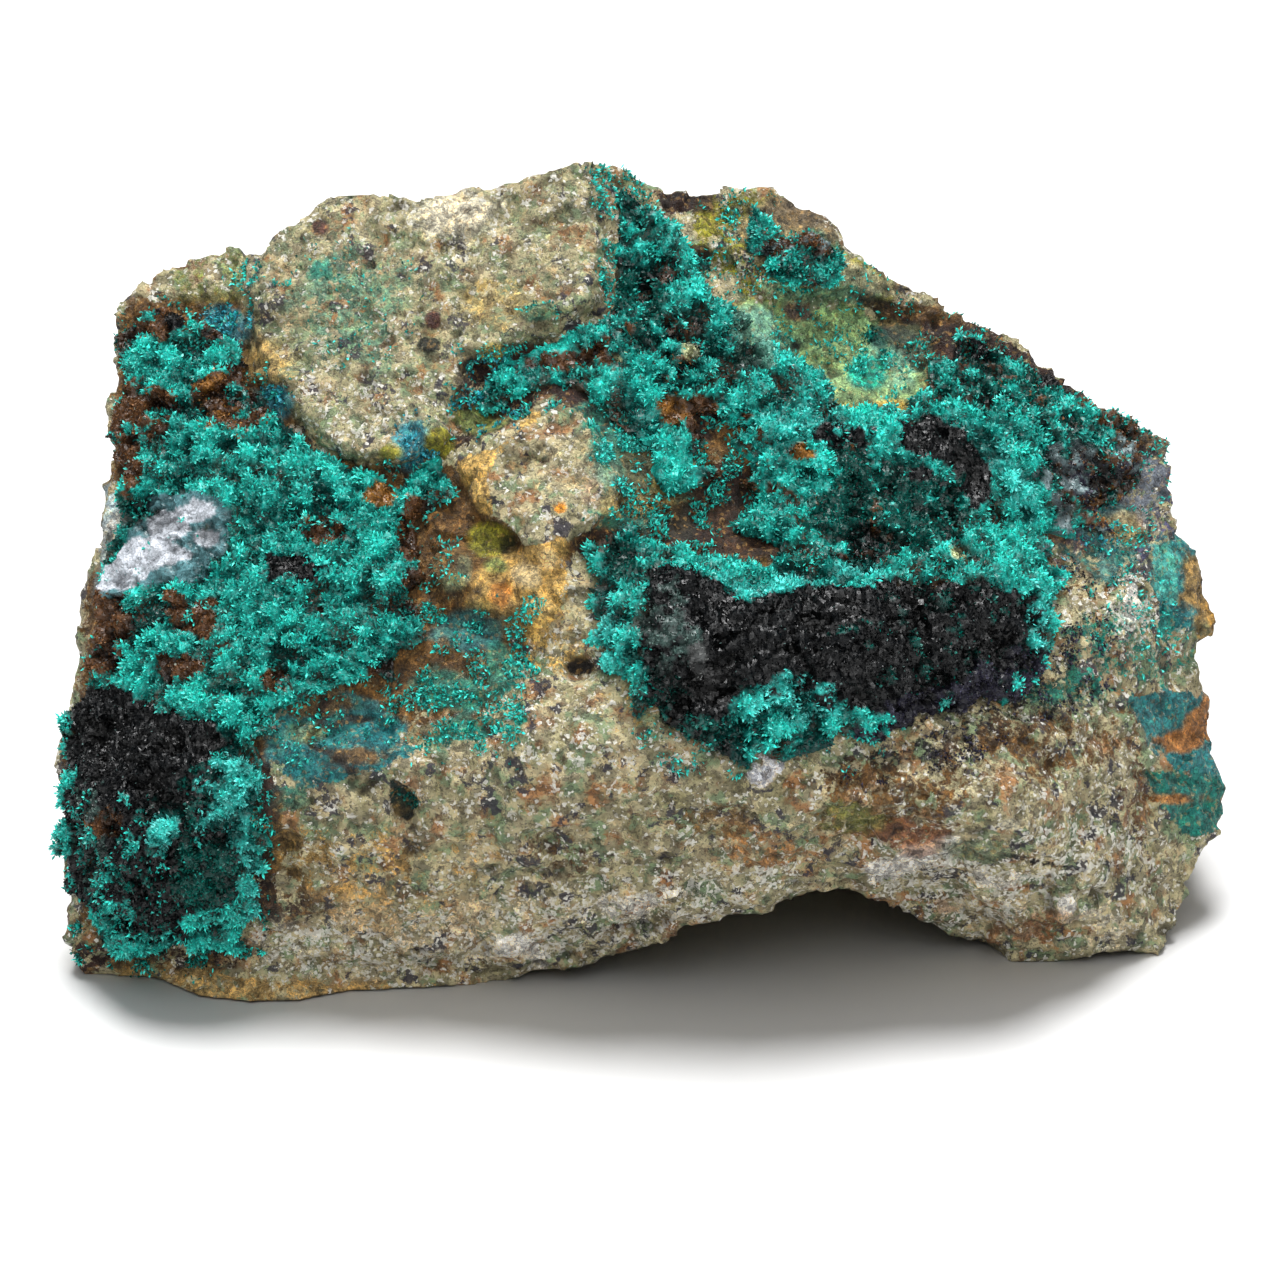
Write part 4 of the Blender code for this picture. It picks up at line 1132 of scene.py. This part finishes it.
def scatter(points, normals, faces, share, count, rng):
    """Random places on these triangles: the points, the normals and the triangles' corners."""
    picked = rng.choice(len(faces), size=count, p=share / share.sum())
    u, v = rng.random(count), rng.random(count)
    flip = u + v > 1
    u, v = np.where(flip, 1 - u, u), np.where(flip, 1 - v, v)
    corner = faces[picked]
    root = points[corner[:, 0]] * (1 - u - v)[:, None] + points[corner[:, 1]] * u[:, None]
    root += points[corner[:, 2]] * v[:, None]
    up = normals[corner].mean(axis=1)
    return root, up / np.linalg.norm(up, axis=1)[:, None]


def areas_of(points, faces):
    a, b, c = (points[faces[:, i]] for i in range(3))
    return np.linalg.norm(np.cross(b - a, c - a), axis=1) / 2


def blades_on(mesh, points, normals, away, rng, count):
    """The crystals of a crust, longer on the tufts than between them, and lighter there as painted
    light, with painted shade between them.
    """
    faces = triangles_of(mesh)
    share = areas_of(points, faces) * (away[faces].mean(axis=1) > 0.55)
    root, up = scatter(points, normals, faces, share, count, rng)
    place = Place(root, np.ones(count))
    weights = kind_weights(place)
    relief = tuft_relief(root, kind_values(weights, 4))
    weights = one_kind(place, weights, rng.random(count))
    return kites(root, up, weights, ramp(relief, -0.8, 0.8), rng)


def sprigs_on(rock_faces, name, rng):
    """Single sprigs on the bare rock beside a crust: their points and colours."""
    points, normals, faces = rock_faces
    middle = points[faces].mean(axis=1)
    place = Place(middle, facing_of(normals[faces].mean(axis=1)))
    left = place.across < SPRIG_BORDER
    mine = {"crust_left": left, "crust_right": ~left, "crust_summit": np.zeros(len(faces), bool)}[name]
    area = areas_of(points, faces) * mine * (place.seen > 0.5)
    clumps = ramp(rough_noise(middle, 1.7, 211, 3), 0.02, 0.22) * 2.8
    roots, ups, kinds = [], [], []
    for shape, kind, density in SPRIGS:
        share = area * place.patch(shape, 10, 16) * clumps
        count = int(share.sum() * density)
        if count == 0:
            continue
        root, up = scatter(points, normals, faces, share, count, rng)
        roots.append(root)
        ups.append(up)
        kinds += [KIND_NAMES.index(kind)] * count
    if not roots:
        return np.zeros((0, 3)), np.zeros((0, 3))
    weights = np.eye(len(KIND_NAMES))[kinds]
    root, up = np.concatenate(roots), np.concatenate(ups)
    return kites(root, up, weights, rng.random(len(root)), rng)


def kites(root, up, weights, lit, rng):
    """Crystals as small folded blades: their points and colours, four points each."""
    count = len(root)
    length = kind_values(weights, 2) * rng.uniform(0.5, 1.3, count) * (0.75 + 0.4 * lit)
    width = kind_values(weights, 3) * rng.uniform(0.7, 1.35, count)
    direction = up * 0.55 + rng.normal(size=(count, 3)) * 0.5
    direction += up * np.maximum(0.25 - (direction * up).sum(axis=1), 0)[:, None]
    direction /= np.linalg.norm(direction, axis=1)[:, None]
    side = np.cross(direction, rng.normal(size=(count, 3)))
    side /= np.linalg.norm(side, axis=1)[:, None]
    ridge = np.cross(direction, side)
    made = np.empty((count, 4, 3))
    foot = root - up * 0.06
    middle = foot + direction * (length * 0.55)[:, None]
    made[:, 0] = foot
    made[:, 1] = middle + side * width[:, None]
    made[:, 2] = foot + direction * length[:, None]
    made[:, 3] = middle - side * width[:, None] + ridge * (width * 0.5)[:, None]
    made[:, :, 2] = np.maximum(made[:, :, 2], 0.1)
    # painted light and shade: a crystal's colour follows lit, which follows the tufts on a crust and is
    # random for sprigs
    tone = rng.uniform(0.55, 1.3, count) * (0.12 + 1.05 * lit)
    dull = rng.uniform(0, 1, count)[:, None] ** 3 * 0.16
    low = kind_colours(weights, 0) * (0.2 + 0.9 * lit)[:, None]
    high = kind_colours(weights, 1) * tone[:, None]
    high = high * (1 - dull) + high.mean(axis=1)[:, None] * dull
    glint = (rng.random(count) < GLINT_SHARE)[:, None] * (lit > 0.4)[:, None]
    high = np.where(glint, high + GLINT, high)
    colours = np.empty((count, 4, 3))
    colours[:, 0] = low
    colours[:, 1] = low * 0.3 + high * 0.7
    colours[:, 3] = low * 0.4 + high * 0.6
    colours[:, 2] = high
    return made.reshape(-1, 3), colours.reshape(-1, 3)


def join(mesh, base_colour, spikes):
    """Adds the crystals to the crust's mesh."""
    made, colours = spikes
    points = points_of(mesh)
    faces = triangles_of(mesh)
    first = len(points) + np.arange(0, len(made), 4)
    left = np.stack([first, first + 1, first + 2], axis=1)
    right = np.stack([first, first + 2, first + 3], axis=1)
    every = np.concatenate([faces, left, right])
    whole = np.concatenate([points, made]) * MM
    mesh.clear_geometry()
    mesh.from_pydata(whole.tolist(), [], every.tolist())
    mesh.update()
    colour_layer(mesh, "crystal", np.concatenate([base_colour, colours]))


def dress(obj, node, material, smooth):
    obj.data.materials.clear()
    obj.data.materials.append(material)
    obj.data.polygons.foreach_set("use_smooth", np.full(len(obj.data.polygons), smooth))
    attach(obj, "root")
    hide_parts(node)


rock = make_rock()
tree = tree_of(rock)
dress(rock, "matrix", rock_material(), True)
pieces = [rock]

crystal_look = crust_material()
rock_faces = (points_of(rock.data), normals_of(rock.data), triangles_of(rock.data))
for node, name, seed, blades, voxel in (
    ("dioptase_crust_left", "crust_left", 11, 56000, 0.36),
    ("dioptase_crust_right", "crust_right", 12, 56000, 0.42),
    ("dioptase_crust_summit", "crust_summit", 13, 3000, 0.36),
):
    crust = make_crust(node, name, tree, rock_faces, np.random.default_rng(seed), blades, voxel)
    dress(crust, node, crystal_look, False)
    pieces.append(crust)


# The surface it stands on, the light and the camera


def make_floor():
    bpy.ops.mesh.primitive_plane_add(size=6, location=(0, 0, -0.00002))
    floor = bpy.context.object
    floor.name = "floor"
    n = Nodes("floor")
    tone = n.noise(3, 2.0, 0.5)
    colour = n.ramp(tone.outputs["Fac"], [(0.3, (0.86, 0.86, 0.86)), (0.7, (0.88, 0.88, 0.88))])
    floor.data.materials.append(n.finish(Base_Color=colour, Roughness=0.6))


def sun(name, towards, strength, spread, lit=None):
    """A broad soft light. Where a collection is given, it lights that alone."""
    data = bpy.data.lights.new(name, "SUN")
    data.energy = strength
    data.angle = math.radians(spread)
    light = bpy.data.objects.new(name, data)
    light.rotation_euler = Vector(towards).to_track_quat("-Z", "Y").to_euler()
    light.light_linking.receiver_collection = lit
    bpy.context.scene.collection.objects.link(light)


def make_light(pieces):
    """A sky that is dark near the horizon, a light overhead and a fill for the specimen alone."""
    world = bpy.data.worlds.new("studio")
    world.use_nodes = True
    tree = world.node_tree
    direction = tree.nodes.new("ShaderNodeTexCoord").outputs["Generated"]
    height = tree.nodes.new("ShaderNodeSeparateXYZ")
    tree.links.new(direction, height.inputs[0])
    strength = tree.nodes.new("ShaderNodeMapRange")
    strength.inputs["From Min"].default_value = 0.45
    strength.inputs["From Max"].default_value = 0.95
    strength.inputs["To Min"].default_value = 0.01
    strength.inputs["To Max"].default_value = 0.74
    tree.links.new(height.outputs["Z"], strength.inputs["Value"])
    tree.links.new(strength.outputs["Result"], tree.nodes["Background"].inputs["Strength"])
    tree.nodes["Background"].inputs["Color"].default_value = (1, 1, 1, 1)
    bpy.context.scene.world = world
    specimen = bpy.data.collections.new("specimen")
    for piece in pieces:
        specimen.objects.link(piece)
    sun("overhead", (0.06, -0.36, -1.0), 4.6, 28)
    sun("front", (-0.25, 0.9, -0.9), 1.95, 50, specimen)


SENSOR_MM = 36


def make_camera():
    """The eye of the display view."""
    data = bpy.data.cameras.new("camera")
    data.sensor_width = SENSOR_MM
    data.lens = SENSOR_MM * EYE_DISTANCE / (VIEW_STEPS * VIEW_MM)
    data.clip_start = 0.05
    camera = bpy.data.objects.new("camera", data)
    aim = Vector(DESIGN_ORIGIN + EYE_RISE * np.array([0, math.sin(LEAN), math.cos(LEAN)])) * MM
    back = Vector((0, -math.cos(LEAN), math.sin(LEAN)))
    camera.location = aim + back * EYE_DISTANCE * MM
    camera.rotation_euler = (math.pi / 2 - LEAN, 0, 0)
    bpy.context.scene.collection.objects.link(camera)
    bpy.context.scene.camera = camera


make_floor()
make_light(pieces)
make_camera()
bpy.context.scene.view_settings.view_transform = "Standard"
